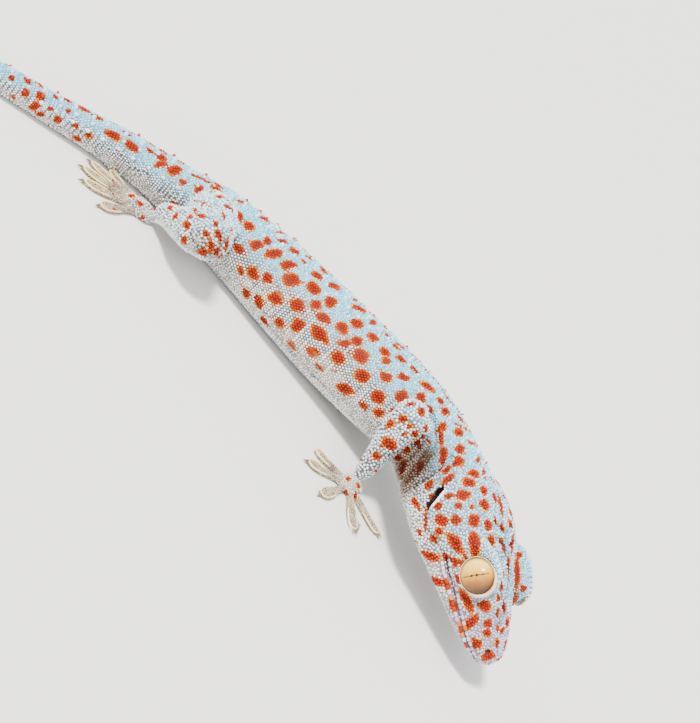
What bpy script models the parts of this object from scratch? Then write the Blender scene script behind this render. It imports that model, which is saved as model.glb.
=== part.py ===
"""Tokay gecko, a young adult at life size, resting on a flat floor with head and tail swept to its right.

Metres, +Z up, the floor at z = 0, the origin under the belly. The trunk runs along +X, with the head at +X
and the animal's left at +Y.
The flesh is one lofted body from tail tip to snout, parted by thin cuts, with lofted limbs let into it.
"""

import math
import random

import bmesh
import bpy
import numpy as np
from mathutils import Matrix, Vector

MM = 0.001
GAP = 0.0003  # left between neighbouring pieces
FLOOR = 0.0
MERGE = 0.000002  # corners nearer than this become one

# The head is straight. Its axis runs along the line of the mouth, from the ear opening to the snout tip.
EAR_POINT = Vector((57.0, -10.8, 13.2)) * MM
HEAD_LENGTH = 36.0 * MM
HEAD_YAW = math.radians(-28.5)
HEAD_PITCH = math.radians(-10.0)

# Name, place of the axis (x, y, z), half width, height above the axis and depth below it, in millimetres.
BODY_STATIONS = [
    ("tail_tip", -93.0, -104.0, 0.75, 0.5, 0.5, 0.9),
    ("tail_9", -92.5, -92.0, 1.15, 0.95, 0.95, 1.3),
    ("tail_8", -90.5, -80.0, 1.55, 1.45, 1.4, 1.75),
    ("tail_7", -86.0, -67.5, 1.95, 1.9, 1.85, 2.15),
    ("tail_6", -79.0, -55.5, 2.35, 2.35, 2.3, 2.55),
    ("tail_5", -69.5, -43.0, 2.8, 2.8, 2.75, 3.0),
    ("tail_4", -59.5, -31.5, 3.3, 3.3, 3.2, 3.5),
    ("tail_3", -49.6, -19.8, 3.95, 4.2, 4.0, 4.15),
    ("tail_2", -42.5, -13.2, 4.6, 5.0, 4.7, 4.8),
    ("tail_1", -36.0, -9.3, 5.4, 5.8, 5.4, 5.6),
    ("vent", -29.5, -7.0, 6.6, 7.0, 6.1, 6.9),
    ("pelvis", -23.0, -4.6, 7.8, 8.6, 6.8, 8.2),
    ("groin", -12.5, -1.0, 8.4, 10.4, 7.5, 9.1),
    ("belly", 1.5, 2.2, 9.2, 12.2, 8.5, 9.9),
    ("middle", 16.0, 3.9, 10.4, 12.6, 9.1, 10.4),
    ("chest", 29.5, 3.8, 12.1, 12.2, 9.7, 9.9),
    ("shoulder", 40.0, 1.4, 13.8, 11.6, 9.6, 8.9),
    ("neck", 48.6, -4.3, 14.3, 10.9, 10.0, 7.7),
]

# Distance ahead of the ear opening, half width, height above the mouth line and depth below it, in mm.
HEAD_STATIONS = [
    (-3.0, 11.3, 11.4, 6.8),
    (0.0, 12.4, 12.2, 6.5),
    (4.0, 13.4, 12.8, 6.3),
    (8.0, 13.3, 12.8, 6.1),
    (12.0, 12.3, 12.2, 5.9),
    (15.0, 11.2, 11.5, 5.6),
    (18.0, 10.2, 10.7, 5.3),
    (21.0, 9.2, 9.6, 4.8),
    (24.0, 8.2, 8.3, 4.3),
    (27.0, 7.3, 7.0, 3.8),
    (30.0, 6.1, 5.9, 3.3),
    (32.5, 5.0, 4.9, 2.8),
    (34.5, 3.7, 3.7, 2.2),
    (35.6, 2.3, 2.4, 1.5),
    (36.0, 0.9, 1.0, 0.7),
]

# Where the body is parted: node name, first station, last station, ring spacing in millimetres.
BODY_NODES = [
    ("tail_end", "tail_tip", "tail_6", 6.0),
    ("tail_mid", "tail_6", "tail_3", 4.5),
    ("tail_base", "tail_3", "vent", 3.5),
    ("torso", "vent", "shoulder", 3.6),
    ("neck", "shoulder", "head", 3.0),
]
BODY_SIDES = 24
TAIL_SIDES = 16
ROUNDNESS_OF_BODY = 2.15  # exponent of the sections' superellipse
ROUNDNESS_OF_HEAD = 2.25

# Eyes, in the head's own axes and millimetres: ahead of the ear, out from the middle, above the head's axis.
EYE_PLACE = (20.3, 6.6, 6.5)
EYE_RADIUS = 3.85
EYE_AIM = (0.2, 0.93, 0.3)
LID_THICKNESS = 0.5
BROW_PLACE = (-2.6, -1.2, -0.2)  # the middle of the swelling behind each eye, from the eye's middle
BROW_SIZE = (5.6, 3.7, 3.9)  # its half length, half width and half height
LID_OPENING = 3.6
MOUTH_CORNER = 15.5
MOUTH_DEPTH = 0.6
MOUTH_RISE = 0.13  # the line of the mouth climbs by this for each millimetre back from the snout
LIP_SPREAD = math.radians(4.5)  # how far round the section the edge of each lip lies from the line
EAR_SLIT = (2.6, 5.8)  # ahead of the ear point, above the head's axis
EAR_SLIT_SIZE = (0.8, 2.4, 3.1)  # half width, depth and half length
EAR_SLANT = math.radians(-24.0)
NOSTRIL_PLACE = (34.2, 2.5, 2.6)
NOSTRIL_RADIUS = 0.55
BROW_HOLLOW = 0.8  # how far the forehead sinks between the eyes
BROW_HOLLOW_SPAN = (20.0, 6.0, 2.6)  # the hollow's middle ahead of the ear, its half length and half width
# Places of the head's rings, closer where the mouth begins and towards the snout.
HEAD_RINGS = (
    -3, -1.2, 0.6, 2.4, 4.4, 6.6, 8.8, 11, 13.2, 15.2, 15.9, 17.4, 19,
    20.8, 22.6, 24.4, 26.2, 28, 29.8, 31.4, 32.8, 33.9, 34.8, 35.4, 35.8, 36,
)
# Shares of the way round a head section, from a lip's edge to the middle of the crown or of the throat.
CROWN_SHARES = (0, 0.1, 0.22, 0.35, 0.48, 0.61, 0.74, 0.87, 1)
THROAT_SHARES = (0, 0.16, 0.36, 0.58, 0.8, 1)

# Pointed tubercles in rows along the back: degrees from the middle of the back, and sizes in millimetres.
TUBERCLE_ROWS = (9, 27, 46)
TUBERCLE_STEP = 4.3
TUBERCLE_RADIUS = 0.85
TUBERCLE_HEIGHT = 0.8
TUBERCLE_ROOT = 0.7
TAIL_WHORL_ANGLES = (14, 43, 72)
TAIL_WHORL_STEP = 5.2
LIMB_CLEARANCE = 6.6  # no tubercle stands nearer than this to the axis of a limb

# Limbs: the joints in millimetres, in the frame of the whole animal.
FRONT_LIMBS = {
    "right": {
        "root": (45.0, -3.6, 10.6),
        "middle": (38.6, -14.2, 20.4),
        "end": (41.6, -15.2, 5.0),
        "foot": (42.4, -17.0),
        "heading": -88.0,
        "fan": (-78, -48, -10, 34, 74),
        "roots": (-80, -44, -8, 34, 74),
    },
    "left": {
        "root": (43.0, 5.5, 10.5),
        "middle": (33.6, 18.2, 13.4),
        "end": (41.4, 29.6, 4.6),
        "foot": (42.8, 32.4),
        "heading": 64.0,
        "fan": (-64, -31, 0, 33, 76),
        "roots": (-68, -34, 0, 35, 72),
    },
}
HIND_LIMBS = {
    "right": {
        "root": (-25.0, -6.0, 8.6),
        "middle": (-16.4, -24.0, 11.8),
        "end": (-28.4, -17.6, 4.4),
        "foot": (-32.6, -19.4),
        "heading": -146.0,
        "fan": (-26, -10, 6, 22, 44),
        "roots": (-66, -32, 4, 40, 74),
    },
    "left": {
        "root": (-23.0, -1.0, 8.0),
        "middle": (-7.4, 15.0, 6.2),
        "end": (-11.2, 28.6, 4.2),
        "foot": (-12.4, 31.8),
        "heading": 112.0,
        "fan": (48, 24, 0, -24, -50),
        "roots": (74, 37, 0, -37, -74),
    },
}
# Radii along each segment, from its root to its end, in millimetres.
UPPER_ARM_RADII = (4.4, 4.6, 4.6, 4.3, 3.9)
FOREARM_RADII = (3.5, 4.0, 3.7, 3.0, 2.4, 2.1)
THIGH_RADII = (5.2, 6.0, 6.0, 5.5, 5.0)
SHANK_RADII = (4.4, 5.0, 4.6, 3.6, 2.8, 2.4)
LIMB_SIDES = 12
# The rounding past each end of a segment: how far out and how wide, as shares of the radius there.
LIMB_ENDS = ((0.86, 0.45), (0.5, 0.84))
PALM_FRONT = (3.5, 3.1, 2.9)  # half length, half width, height
PALM_HIND = (4.4, 3.3, 3.0)
PALM_SIDES = 14
PALM_PROFILE = ((0.0, 0.8), (0.3, 1.0), (0.62, 0.86), (0.86, 0.55), (1.0, 0.18))  # share of height, of width
TOES_FRONT = (8.8, 10.6, 11.2, 11.4, 10.0)
TOES_HIND = (8.8, 11.6, 12.6, 13.2, 12.2)
TOE_PAD = 1.38  # half width of a toe at its pad
TOE_ROOT = 0.62  # where a toe starts, as a share of the way from the palm's middle to its rim
# Share of a toe's length, half width as a share of the pad's, bottom and top of the section, in millimetres.
TOE_PROFILE = (
    (0.0, 0.62, 0.0, 1.6),
    (0.22, 0.56, 0.0, 1.45),
    (0.38, 0.62, 0.0, 1.35),
    (0.52, 0.86, 0.0, 1.3),
    (0.68, 1.0, 0.0, 1.2),
    (0.82, 0.96, 0.0, 1.1),
    (0.93, 0.66, 0.0, 1.0),
    (0.99, 0.34, 0.05, 0.9),
)
CLAW_PROFILE = ((1.04, 0.22, 0.3, 0.85), (1.12, 0.06, 0.25, 0.4))
# A toe's section, as shares of its half width and of its height.
TOE_SECTION = ((-0.8, 0), (0.8, 0), (1, 0.3), (0.66, 0.82), (0, 1), (-0.66, 0.82), (-1, 0.3))

# Names from the trunk outwards, sizes, and the lengths of the body that the limb is let into.
LIMB_KINDS = {
    "front": {
        "names": ("upper_arm", "forearm", "hand", "finger"),
        "radii": (UPPER_ARM_RADII, FOREARM_RADII),
        "palm": PALM_FRONT,
        "toes": TOES_FRONT,
        "trunk": ("torso", "neck"),
    },
    "hind": {
        "names": ("thigh", "shank", "foot", "toe"),
        "radii": (THIGH_RADII, SHANK_RADII),
        "palm": PALM_HIND,
        "toes": TOES_HIND,
        "trunk": ("torso", "tail_base"),
    },
}

SKIN = ("skin", (0.55, 0.68, 0.72), 0.55)
EYE = ("eye", (0.62, 0.48, 0.27), 0.15)


def clear_scene():
    for thing in list(bpy.data.objects):
        bpy.data.objects.remove(thing)


def material(name, colour, roughness):
    found = bpy.data.materials.get(name)
    if found:
        return found
    made = bpy.data.materials.new(name)
    made.use_nodes = True
    shader = made.node_tree.nodes["Principled BSDF"]
    shader.inputs["Base Color"].default_value = (*colour, 1.0)
    shader.inputs["Roughness"].default_value = roughness
    return made


def object_of(name, mesh_builder, look=SKIN):
    """A new object from a bmesh, with its faces pointing out."""
    bmesh.ops.recalc_face_normals(mesh_builder, faces=mesh_builder.faces)
    mesh = bpy.data.meshes.new(name)
    mesh_builder.to_mesh(mesh)
    mesh_builder.free()
    mesh.materials.append(material(*look))
    mesh.shade_smooth()
    made = bpy.data.objects.new(name, mesh)
    bpy.context.scene.collection.objects.link(made)
    return made


def skin_rings(name, rings, look=SKIN):
    """A closed body over a row of rings with the same number of points, its ends closed by fans."""
    builder = bmesh.new()
    rows = [[builder.verts.new(point) for point in ring] for ring in rings]
    for first, second in zip(rows, rows[1:]):
        count = len(first)
        for i in range(count):
            j = (i + 1) % count
            builder.faces.new((first[i], first[j], second[j], second[i]))
    for row in (rows[0], rows[-1]):
        centre = sum((v.co for v in row), Vector()) / len(row)
        hub = builder.verts.new(centre)
        for i, corner in enumerate(row):
            builder.faces.new((corner, row[(i + 1) % len(row)], hub))
    bmesh.ops.triangulate(builder, faces=builder.faces)
    return object_of(name, builder, look)


def boolean(target, operation, helpers):
    """Applies one Boolean of a collection of helpers to the target, and removes the helpers."""
    group = bpy.data.collections.new("helpers")
    for helper in helpers:
        group.objects.link(helper)
    step = target.modifiers.new("shape", "BOOLEAN")
    step.operation = operation
    step.solver = "EXACT"
    step.operand_type = "COLLECTION"
    step.collection = group
    graph = bpy.context.evaluated_depsgraph_get()
    shaped = bpy.data.meshes.new_from_object(target.evaluated_get(graph))
    target.modifiers.remove(step)
    target.data = shaped
    for helper in helpers:
        bpy.data.objects.remove(helper)
    bpy.data.collections.remove(group)
    keep_largest_surface(target)


def keep_largest_surface(target):
    """Drops loose scraps and sealed hollows: only the closed surface of the largest volume stays."""
    builder = bmesh.new()
    builder.from_mesh(target.data)
    bmesh.ops.remove_doubles(builder, verts=builder.verts, dist=MERGE)
    bmesh.ops.dissolve_degenerate(builder, edges=builder.edges, dist=MERGE)
    bmesh.ops.triangulate(builder, faces=builder.faces)
    unseen = set(builder.faces)
    shells = []
    while unseen:
        stack = [unseen.pop()]
        shell = []
        while stack:
            face = stack.pop()
            shell.append(face)
            for edge in face.edges:
                for other in edge.link_faces:
                    if other in unseen:
                        unseen.remove(other)
                        stack.append(other)
        shells.append(shell)

    def volume(shell):
        corners = ([v.co for v in face.verts] for face in shell)
        return abs(sum(a.dot(b.cross(c)) for a, b, c in corners))

    shells.sort(key=volume)
    for shell in shells[:-1]:
        bmesh.ops.delete(builder, geom=shell, context="FACES")
    bmesh.ops.delete(
        builder, geom=[v for v in builder.verts if not v.link_faces], context="VERTS"
    )
    builder.to_mesh(target.data)
    builder.free()


def head_axes():
    """The head's forward, left and up directions."""
    forward = Vector(
        (
            math.cos(HEAD_PITCH) * math.cos(HEAD_YAW),
            math.cos(HEAD_PITCH) * math.sin(HEAD_YAW),
            math.sin(HEAD_PITCH),
        )
    )
    left = Vector((0, 0, 1)).cross(forward).normalized()
    return forward, left, forward.cross(left)


def head_point(ahead, out, above):
    """A point of the head's own axes, in millimetres, as a place in the frame. Out is to the left."""
    forward, left, up = head_axes()
    return EAR_POINT + (forward * ahead + left * out + up * above) * MM


def head_matrix(ahead, out, above):
    forward, left, up = head_axes()
    turn = Matrix((forward, left, up)).transposed().to_4x4()
    return Matrix.Translation(head_point(ahead, out, above)) @ turn


def all_stations():
    """The body's stations with the rear of the head as the last ones, in millimetres."""
    rows = list(BODY_STATIONS)
    for ahead, width, top, depth in HEAD_STATIONS[:2]:
        place = head_point(ahead, 0, 0) / MM
        rows.append(("head" if ahead < 0 else "ear", *place, width, top, depth))
    return rows


def smooth_track(rows):
    """Tracks from distance along the body to its section and to its direction, and each station's distance."""
    table = np.array([row[1:] for row in rows], float)
    steps = np.linalg.norm(np.diff(table[:, :3], axis=0), axis=1)
    reach = np.concatenate([[0.0], np.cumsum(steps)])
    slopes = np.gradient(table, reach, axis=0)
    slopes[-2:, :3] = head_axes()[0]

    def at(distance):
        i = int(np.clip(np.searchsorted(reach, distance) - 1, 0, len(reach) - 2))
        span = reach[i + 1] - reach[i]
        t = (distance - reach[i]) / span
        here = (
            (2 * t**3 - 3 * t**2 + 1) * table[i]
            + (t**3 - 2 * t**2 + t) * span * slopes[i]
            + (3 * t**2 - 2 * t**3) * table[i + 1]
            + (t**3 - t**2) * span * slopes[i + 1]
        )
        return here, (1 - t) * slopes[i, :3] + t * slopes[i + 1, :3]

    return at, dict(zip((row[0] for row in rows), reach))


TRACK, REACH = smooth_track(all_stations())


def body_frame(distance):
    """Place, forward, left and up of the body's axis at a distance along it, with its section sizes."""
    here, direction = TRACK(distance)
    forward = Vector(direction).normalized()
    left = Vector((0, 0, 1)).cross(forward).normalized()
    return Vector(here[:3]) * MM, forward, left, forward.cross(left), here[3:]


def section_point(angle, width, top, depth, roundness=ROUNDNESS_OF_BODY):
    """Out and up from the axis, in metres, at an angle counted from the left side over the back."""
    c, s = math.cos(angle), math.sin(angle)
    power = 2.0 / roundness
    out = math.copysign(abs(c) ** power, c) * width * MM
    rise = math.copysign(abs(s) ** power, s) * (top if s > 0 else depth) * MM
    return out, rise


def body_ring(distance, sides, grow=0.0, shift=0.0):
    place, forward, left, up, (width, top, depth) = body_frame(distance)
    extra = grow / MM
    ring = []
    for i in range(sides):
        out, rise = section_point(
            2 * math.pi * i / sides, width + extra, top + extra, depth + extra
        )
        point = place + left * out + up * rise + forward * shift
        point.z = max(point.z, FLOOR - grow)
        ring.append(point)
    return ring


def body_piece(name, first, last, spacing, grow=0.0):
    """The body between two named stations, its cut ends half a gap back from them."""
    start, end = REACH[first], REACH[last]
    count = max(3, round((end - start) / spacing))
    sides = TAIL_SIDES if name.startswith("tail") else BODY_SIDES
    half = GAP / 2 - grow
    rings = []
    for i in range(count + 1):
        distance = start + (end - start) * i / count
        if first == "tail_tip" and i == 0:
            shift = 0.0
        else:
            shift = {0: half, count: -half}.get(i, 0.0)
        rings.append(body_ring(distance, sides, grow, shift))
    return skin_rings(name, rings)


def mouth_angle(ahead, top):
    """How far round the section, from level, the line of the mouth lies."""
    climb = MOUTH_RISE * (HEAD_LENGTH / MM - ahead)
    return math.asin(min(0.9, climb / top) ** (ROUNDNESS_OF_HEAD / 2))


def head_angles(ahead, top):
    """Angles round a head section from the left over the top, the first on the mouth's line."""
    line = mouth_angle(ahead, top)
    crown = line + LIP_SPREAD
    throat = line - LIP_SPREAD
    quarter = math.pi / 2
    above = [crown + (quarter - crown) * share for share in CROWN_SHARES]
    below = [throat - (quarter + throat) * share for share in THROAT_SHARES]
    left = [line, *above]
    right = [math.pi - angle for angle in reversed(left[:-1])]
    under_right = [math.pi - angle for angle in below]
    return left + right + under_right + list(reversed(below[:-1]))


def head_sizes(ahead):
    """Half width, top and depth of the head, read from its stations by a smooth curve."""
    table = np.array(HEAD_STATIONS, float)
    slopes = np.gradient(table[:, 1:], table[:, 0], axis=0)
    i = int(np.clip(np.searchsorted(table[:, 0], ahead) - 1, 0, len(table) - 2))
    span = table[i + 1, 0] - table[i, 0]
    t = (ahead - table[i, 0]) / span
    return (
        (2 * t**3 - 3 * t**2 + 1) * table[i, 1:]
        + (t**3 - 2 * t**2 + t) * span * slopes[i]
        + (3 * t**2 - 2 * t**3) * table[i + 1, 1:]
        + (t**3 - t**2) * span * slopes[i + 1]
    )


def head_ring(ahead):
    width, top, depth = head_sizes(ahead)
    middle, length, breadth = BROW_HOLLOW_SPAN
    angles = head_angles(ahead, top)
    mouth_lines = (angles[0], math.pi - angles[0])
    ring = []
    for angle in angles:
        out, rise = section_point(angle, width, top, depth, ROUNDNESS_OF_HEAD)
        out, rise = out / MM, rise / MM
        if ahead > MOUTH_CORNER and angle in mouth_lines:
            out -= math.copysign(MOUTH_DEPTH * min(1.0, width / 3), out)
        if rise > 0:
            between = math.exp(-(((ahead - middle) / length) ** 2) - (out / breadth) ** 2)
            rise -= BROW_HOLLOW * between
        ring.append(head_point(ahead, out, rise))
    return ring


def head_body():
    start = HEAD_RINGS[0] + GAP / MM / 2
    return skin_rings("head", [head_ring(step) for step in (start, *HEAD_RINGS[1:])])


def ball(name, radius, matrix, sides=16, look=SKIN, stretch=(1, 1, 1)):
    builder = bmesh.new()
    bmesh.ops.create_uvsphere(
        builder, u_segments=sides, v_segments=sides // 2 + 1, radius=radius
    )
    bmesh.ops.scale(builder, vec=stretch, verts=builder.verts)
    bmesh.ops.transform(builder, matrix=matrix, verts=builder.verts)
    return object_of(name, builder, look)


def rod(name, radius, length, matrix, sides=20):
    """A cylinder that starts at the matrix's origin and runs along its Z."""
    builder = bmesh.new()
    bmesh.ops.create_cone(
        builder,
        cap_ends=True,
        segments=sides,
        radius1=radius,
        radius2=radius,
        depth=length,
        matrix=matrix @ Matrix.Translation((0, 0, length / 2)),
    )
    return object_of(name, builder)


def aimed(place, direction):
    """A matrix at a place with its Z along a direction."""
    return Matrix.Translation(place) @ direction.to_track_quat("Z", "Y").to_matrix().to_4x4()


def eye_pose(side):
    """An eye's centre and the way it looks. Side is 1 on the left and -1 on the right."""
    forward, left, up = head_axes()
    centre = head_point(EYE_PLACE[0], side * EYE_PLACE[1], EYE_PLACE[2])
    aim = forward * EYE_AIM[0] + left * side * EYE_AIM[1] + up * EYE_AIM[2]
    return centre, aim.normalized()


def make_head():
    head = head_body()
    mounds = []
    for side in (1, -1):
        centre, aim = eye_pose(side)
        radius = EYE_RADIUS * MM + GAP + LID_THICKNESS * MM
        mounds.append(ball("mound", radius, aimed(centre, aim), sides=20))
        ahead, out, above = (a + b for a, b in zip(EYE_PLACE, BROW_PLACE))
        brow = head_matrix(ahead, side * out, above)
        mounds.append(ball("brow", MM, brow, sides=16, stretch=BROW_SIZE))
    boolean(head, "UNION", mounds)

    cutters = []
    for side in (1, -1):
        centre, aim = eye_pose(side)
        cutters.append(
            ball("socket", EYE_RADIUS * MM + GAP, aimed(centre, aim), sides=20)
        )
        cutters.append(rod("opening", LID_OPENING * MM, 8 * MM, aimed(centre, aim)))
        wide, deep, long = EAR_SLIT_SIZE
        width = head_sizes(EAR_SLIT[0])[0]
        slit = head_matrix(EAR_SLIT[0], side * (width - 0.3), EAR_SLIT[1])
        slit = slit @ Matrix.Rotation(EAR_SLANT, 4, "Y")
        cutters.append(ball("ear", MM, slit, sides=12, stretch=(wide, deep, long)))
        ahead, out, above = NOSTRIL_PLACE
        hole = head_matrix(ahead, side * out, above)
        cutters.append(ball("nostril", NOSTRIL_RADIUS * MM, hole, sides=8, stretch=(1, 1.6, 1)))
    boolean(head, "DIFFERENCE", cutters)


def make_eye(side):
    """A whole eyeball, of which the lids show the outer cap."""
    centre, aim = eye_pose(side)
    name = "eye_left" if side > 0 else "eye_right"
    ball(name, EYE_RADIUS * MM, aimed(centre, aim), sides=20, look=EYE)


def limb_rings(first, last, radii, grow=0.0):
    """Rings along a straight segment with rounded ends."""
    first, last = Vector(first), Vector(last)
    axis = (last - first).normalized()
    side = axis.cross(Vector((0, 0, 1))).normalized()
    lift = side.cross(axis)
    samples = [(t / (len(radii) - 1), r) for t, r in enumerate(radii)]
    length = (last - first).length
    path = [(-out * radii[0], wide * radii[0]) for out, wide in LIMB_ENDS]
    path += [(t * length, r) for t, r in samples]
    path += [(length + out * radii[-1], wide * radii[-1]) for out, wide in reversed(LIMB_ENDS)]
    middle = length / 2
    rings = []
    for along, radius in path:
        along += math.copysign(grow / MM, along - middle) if along < 0 or along > length else 0
        radius += grow / MM
        ring = []
        for i in range(LIMB_SIDES):
            angle = 2 * math.pi * i / LIMB_SIDES
            point = first + axis * along
            point += side * math.cos(angle) * radius
            point += lift * math.sin(angle) * radius
            point.z = max(point.z, FLOOR)
            ring.append(point * MM)
        rings.append(ring)
    return rings


def limb_piece(name, first, last, radii, grow=0.0):
    return skin_rings(name, limb_rings(first, last, radii, grow))


def palm_piece(name, limb, palm, grow=0.0):
    """A low dome with a flat sole, long in the direction of the foot."""
    length, width, height = (size + grow / MM for size in palm)
    turn = Matrix.Rotation(math.radians(limb["heading"]), 4, "Z")
    centre = Vector((*limb["foot"], 0.0))
    rings = []
    for rise, share in PALM_PROFILE:
        ring = []
        for i in range(PALM_SIDES):
            angle = 2 * math.pi * i / PALM_SIDES
            flat = Vector((math.cos(angle) * length, math.sin(angle) * width, 0)) * share
            ring.append((centre + turn @ flat + Vector((0, 0, rise * height))) * MM)
        rings.append(ring)
    return skin_rings(name, rings)


def toe_piece(name, limb, number, length, palm, clawed):
    """A toe on the floor: narrow at its root, wide and flat at its pad, with a small claw at the tip."""
    heading = math.radians(limb["heading"] + limb["fan"][number])
    root_angle = math.radians(limb["roots"][number])
    turn = Matrix.Rotation(math.radians(limb["heading"]), 3, "Z")
    root = Vector((math.cos(root_angle) * palm[0], math.sin(root_angle) * palm[1], 0))
    start = Vector((*limb["foot"], 0.0)) + turn @ (root * TOE_ROOT)
    forward = Vector((math.cos(heading), math.sin(heading), 0))
    side = Vector((-forward.y, forward.x, 0))
    profile = TOE_PROFILE + (CLAW_PROFILE if clawed else ())
    rings = []
    for share, wide, low, high in profile:
        half = wide * TOE_PAD
        middle = start + forward * (share * length)
        ring = [
            middle + side * out * half + Vector((0, 0, low + (high - low) * rise))
            for out, rise in TOE_SECTION
        ]
        rings.append([point * MM for point in ring])
    return skin_rings(name, rings)


def distance_to_limbs(point):
    """From a place to the nearest axis of a limb's upper or lower segment, in metres."""
    nearest = 1.0
    for limb in [*FRONT_LIMBS.values(), *HIND_LIMBS.values()]:
        joints = [Vector(limb[key]) * MM for key in ("root", "middle", "end")]
        for start, end in zip(joints, joints[1:]):
            span = end - start
            share = (point - start).dot(span) / span.length_squared
            foot = start + span * min(1.0, max(0.0, share))
            nearest = min(nearest, (point - foot).length)
    return nearest


def cone(place, direction, radius, height, root):
    """A five-sided point that stands on a surface, with its root sunk into it."""
    builder = bmesh.new()
    bmesh.ops.create_cone(
        builder,
        cap_ends=True,
        cap_tris=False,
        segments=5,
        radius1=radius,
        radius2=0.0,
        depth=height + root,
        matrix=aimed(place, direction) @ Matrix.Translation((0, 0, (height - root) / 2)),
    )
    bmesh.ops.remove_doubles(builder, verts=builder.verts, dist=1e-6)
    return object_of("tubercle", builder)


def tubercles(first, last, angles, step, chance):
    """Points in staggered rows over the back between two stations, as loose pieces for one union."""
    start, end = REACH[first], REACH[last]
    count = int((end - start) / step)
    margin = (end - start - (count - 1) * step) / 2
    pieces = []
    for row in range(count):
        for column, angle in enumerate(angles):
            for side in (1, -1):
                along = start + margin + (row + 0.5 * (column % 2) - 0.25) * step
                along += chance.uniform(-0.12, 0.12) * step
                turn = math.pi / 2 - side * math.radians(angle + chance.uniform(-2, 2))
                place, forward, left, up, sizes = body_frame(along)
                out, rise = section_point(turn, *sizes)
                base = place + left * out + up * rise
                if distance_to_limbs(base) < LIMB_CLEARANCE * MM:
                    continue
                slope = left * math.cos(turn) / sizes[0] + up * math.sin(turn) / sizes[1]
                lean = (slope.normalized() - forward * 0.3).normalized()
                size = min(1.0, sizes[0] / 5) * chance.uniform(0.85, 1.15)
                radius, height, root = (
                    value * MM * size for value in (TUBERCLE_RADIUS, TUBERCLE_HEIGHT, TUBERCLE_ROOT)
                )
                pieces.append(cone(base, lean, radius, height, root))
    return pieces


def make_limb(kind, side, limb):
    """Upper segment, lower segment, foot and five toes, each let into the one before it."""
    upper_name, lower_name, foot_name, toe_name = kind["names"]
    upper_radii, lower_radii = kind["radii"]
    palm = kind["palm"]

    def trunk_cutters():
        return [body_piece(*row, grow=GAP) for row in BODY_NODES if row[0] in kind["trunk"]]

    def upper_piece(name, grow=0.0):
        return limb_piece(name, limb["root"], limb["middle"], upper_radii, grow)

    def lower_piece(name, grow=0.0):
        return limb_piece(name, limb["middle"], limb["end"], lower_radii, grow)

    upper = upper_piece(f"{upper_name}_{side}")
    boolean(upper, "DIFFERENCE", trunk_cutters())
    lower = lower_piece(f"{lower_name}_{side}")
    boolean(lower, "DIFFERENCE", [upper_piece("cut", GAP), *trunk_cutters()])
    foot = palm_piece(f"{foot_name}_{side}", limb, palm)
    boolean(foot, "DIFFERENCE", [lower_piece("cut", GAP)])
    for number, length in enumerate(kind["toes"]):
        name = f"{toe_name}_{side}_{number + 1}"
        toe = toe_piece(name, limb, number, length, palm, clawed=number > 0)
        boolean(toe, "DIFFERENCE", [palm_piece("cut", limb, palm, GAP), lower_piece("cut", GAP)])


def make_body():
    chance = random.Random(7)
    for name, first, last, spacing in BODY_NODES:
        piece = body_piece(name, first, last, spacing)
        if name == "tail_end":
            continue
        on_tail = name.startswith("tail")
        angles = TAIL_WHORL_ANGLES if on_tail else TUBERCLE_ROWS
        step = TAIL_WHORL_STEP if on_tail else TUBERCLE_STEP
        boolean(piece, "UNION", tubercles(first, last, angles, step, chance))


def main():
    clear_scene()
    make_body()
    make_head()
    for side in (1, -1):
        make_eye(side)
    for side, limb in FRONT_LIMBS.items():
        make_limb(LIMB_KINDS["front"], side, limb)
    for side, limb in HIND_LIMBS.items():
        make_limb(LIMB_KINDS["hind"], side, limb)


main()
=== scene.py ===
# Tokay gecko, a young adult at life size, resting on a pale floor.
# Metres, +X to the head, +Y to the animal's left, the floor at z = 0. Sizes in the dictionaries are in mm.

import math
import random

import bmesh
import bpy
import numpy as np
from mathutils import Matrix, Vector
from mathutils.bvhtree import BVHTree
from mathutils.kdtree import KDTree


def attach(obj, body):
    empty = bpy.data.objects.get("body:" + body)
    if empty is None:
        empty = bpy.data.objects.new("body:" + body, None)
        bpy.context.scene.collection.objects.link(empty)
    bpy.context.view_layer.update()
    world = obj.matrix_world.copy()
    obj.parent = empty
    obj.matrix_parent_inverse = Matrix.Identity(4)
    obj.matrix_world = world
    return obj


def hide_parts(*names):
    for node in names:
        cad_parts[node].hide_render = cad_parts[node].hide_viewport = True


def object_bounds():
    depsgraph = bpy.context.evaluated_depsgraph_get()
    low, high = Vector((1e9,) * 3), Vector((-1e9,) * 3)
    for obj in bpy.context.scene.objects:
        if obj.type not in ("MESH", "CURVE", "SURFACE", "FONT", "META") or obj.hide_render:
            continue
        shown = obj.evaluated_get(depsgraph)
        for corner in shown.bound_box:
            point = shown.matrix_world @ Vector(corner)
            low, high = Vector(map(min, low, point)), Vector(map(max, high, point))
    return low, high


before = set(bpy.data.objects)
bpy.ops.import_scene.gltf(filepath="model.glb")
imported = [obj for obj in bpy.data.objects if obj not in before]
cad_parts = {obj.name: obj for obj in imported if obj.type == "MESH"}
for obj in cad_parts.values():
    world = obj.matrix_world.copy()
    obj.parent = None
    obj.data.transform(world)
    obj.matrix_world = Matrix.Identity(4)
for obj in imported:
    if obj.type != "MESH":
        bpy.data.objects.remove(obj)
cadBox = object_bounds()
mm = 0.001


# Helpers
def linearColour(hexText, alpha=1.0):
    # sRGB hex to the linear values that shaders use
    values = [int(hexText[i : i + 2], 16) / 255 for i in (1, 3, 5)]
    linear = [v / 12.92 if v <= 0.04045 else ((v + 0.055) / 1.055) ** 2.4 for v in values]
    return (*linear, alpha)


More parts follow.
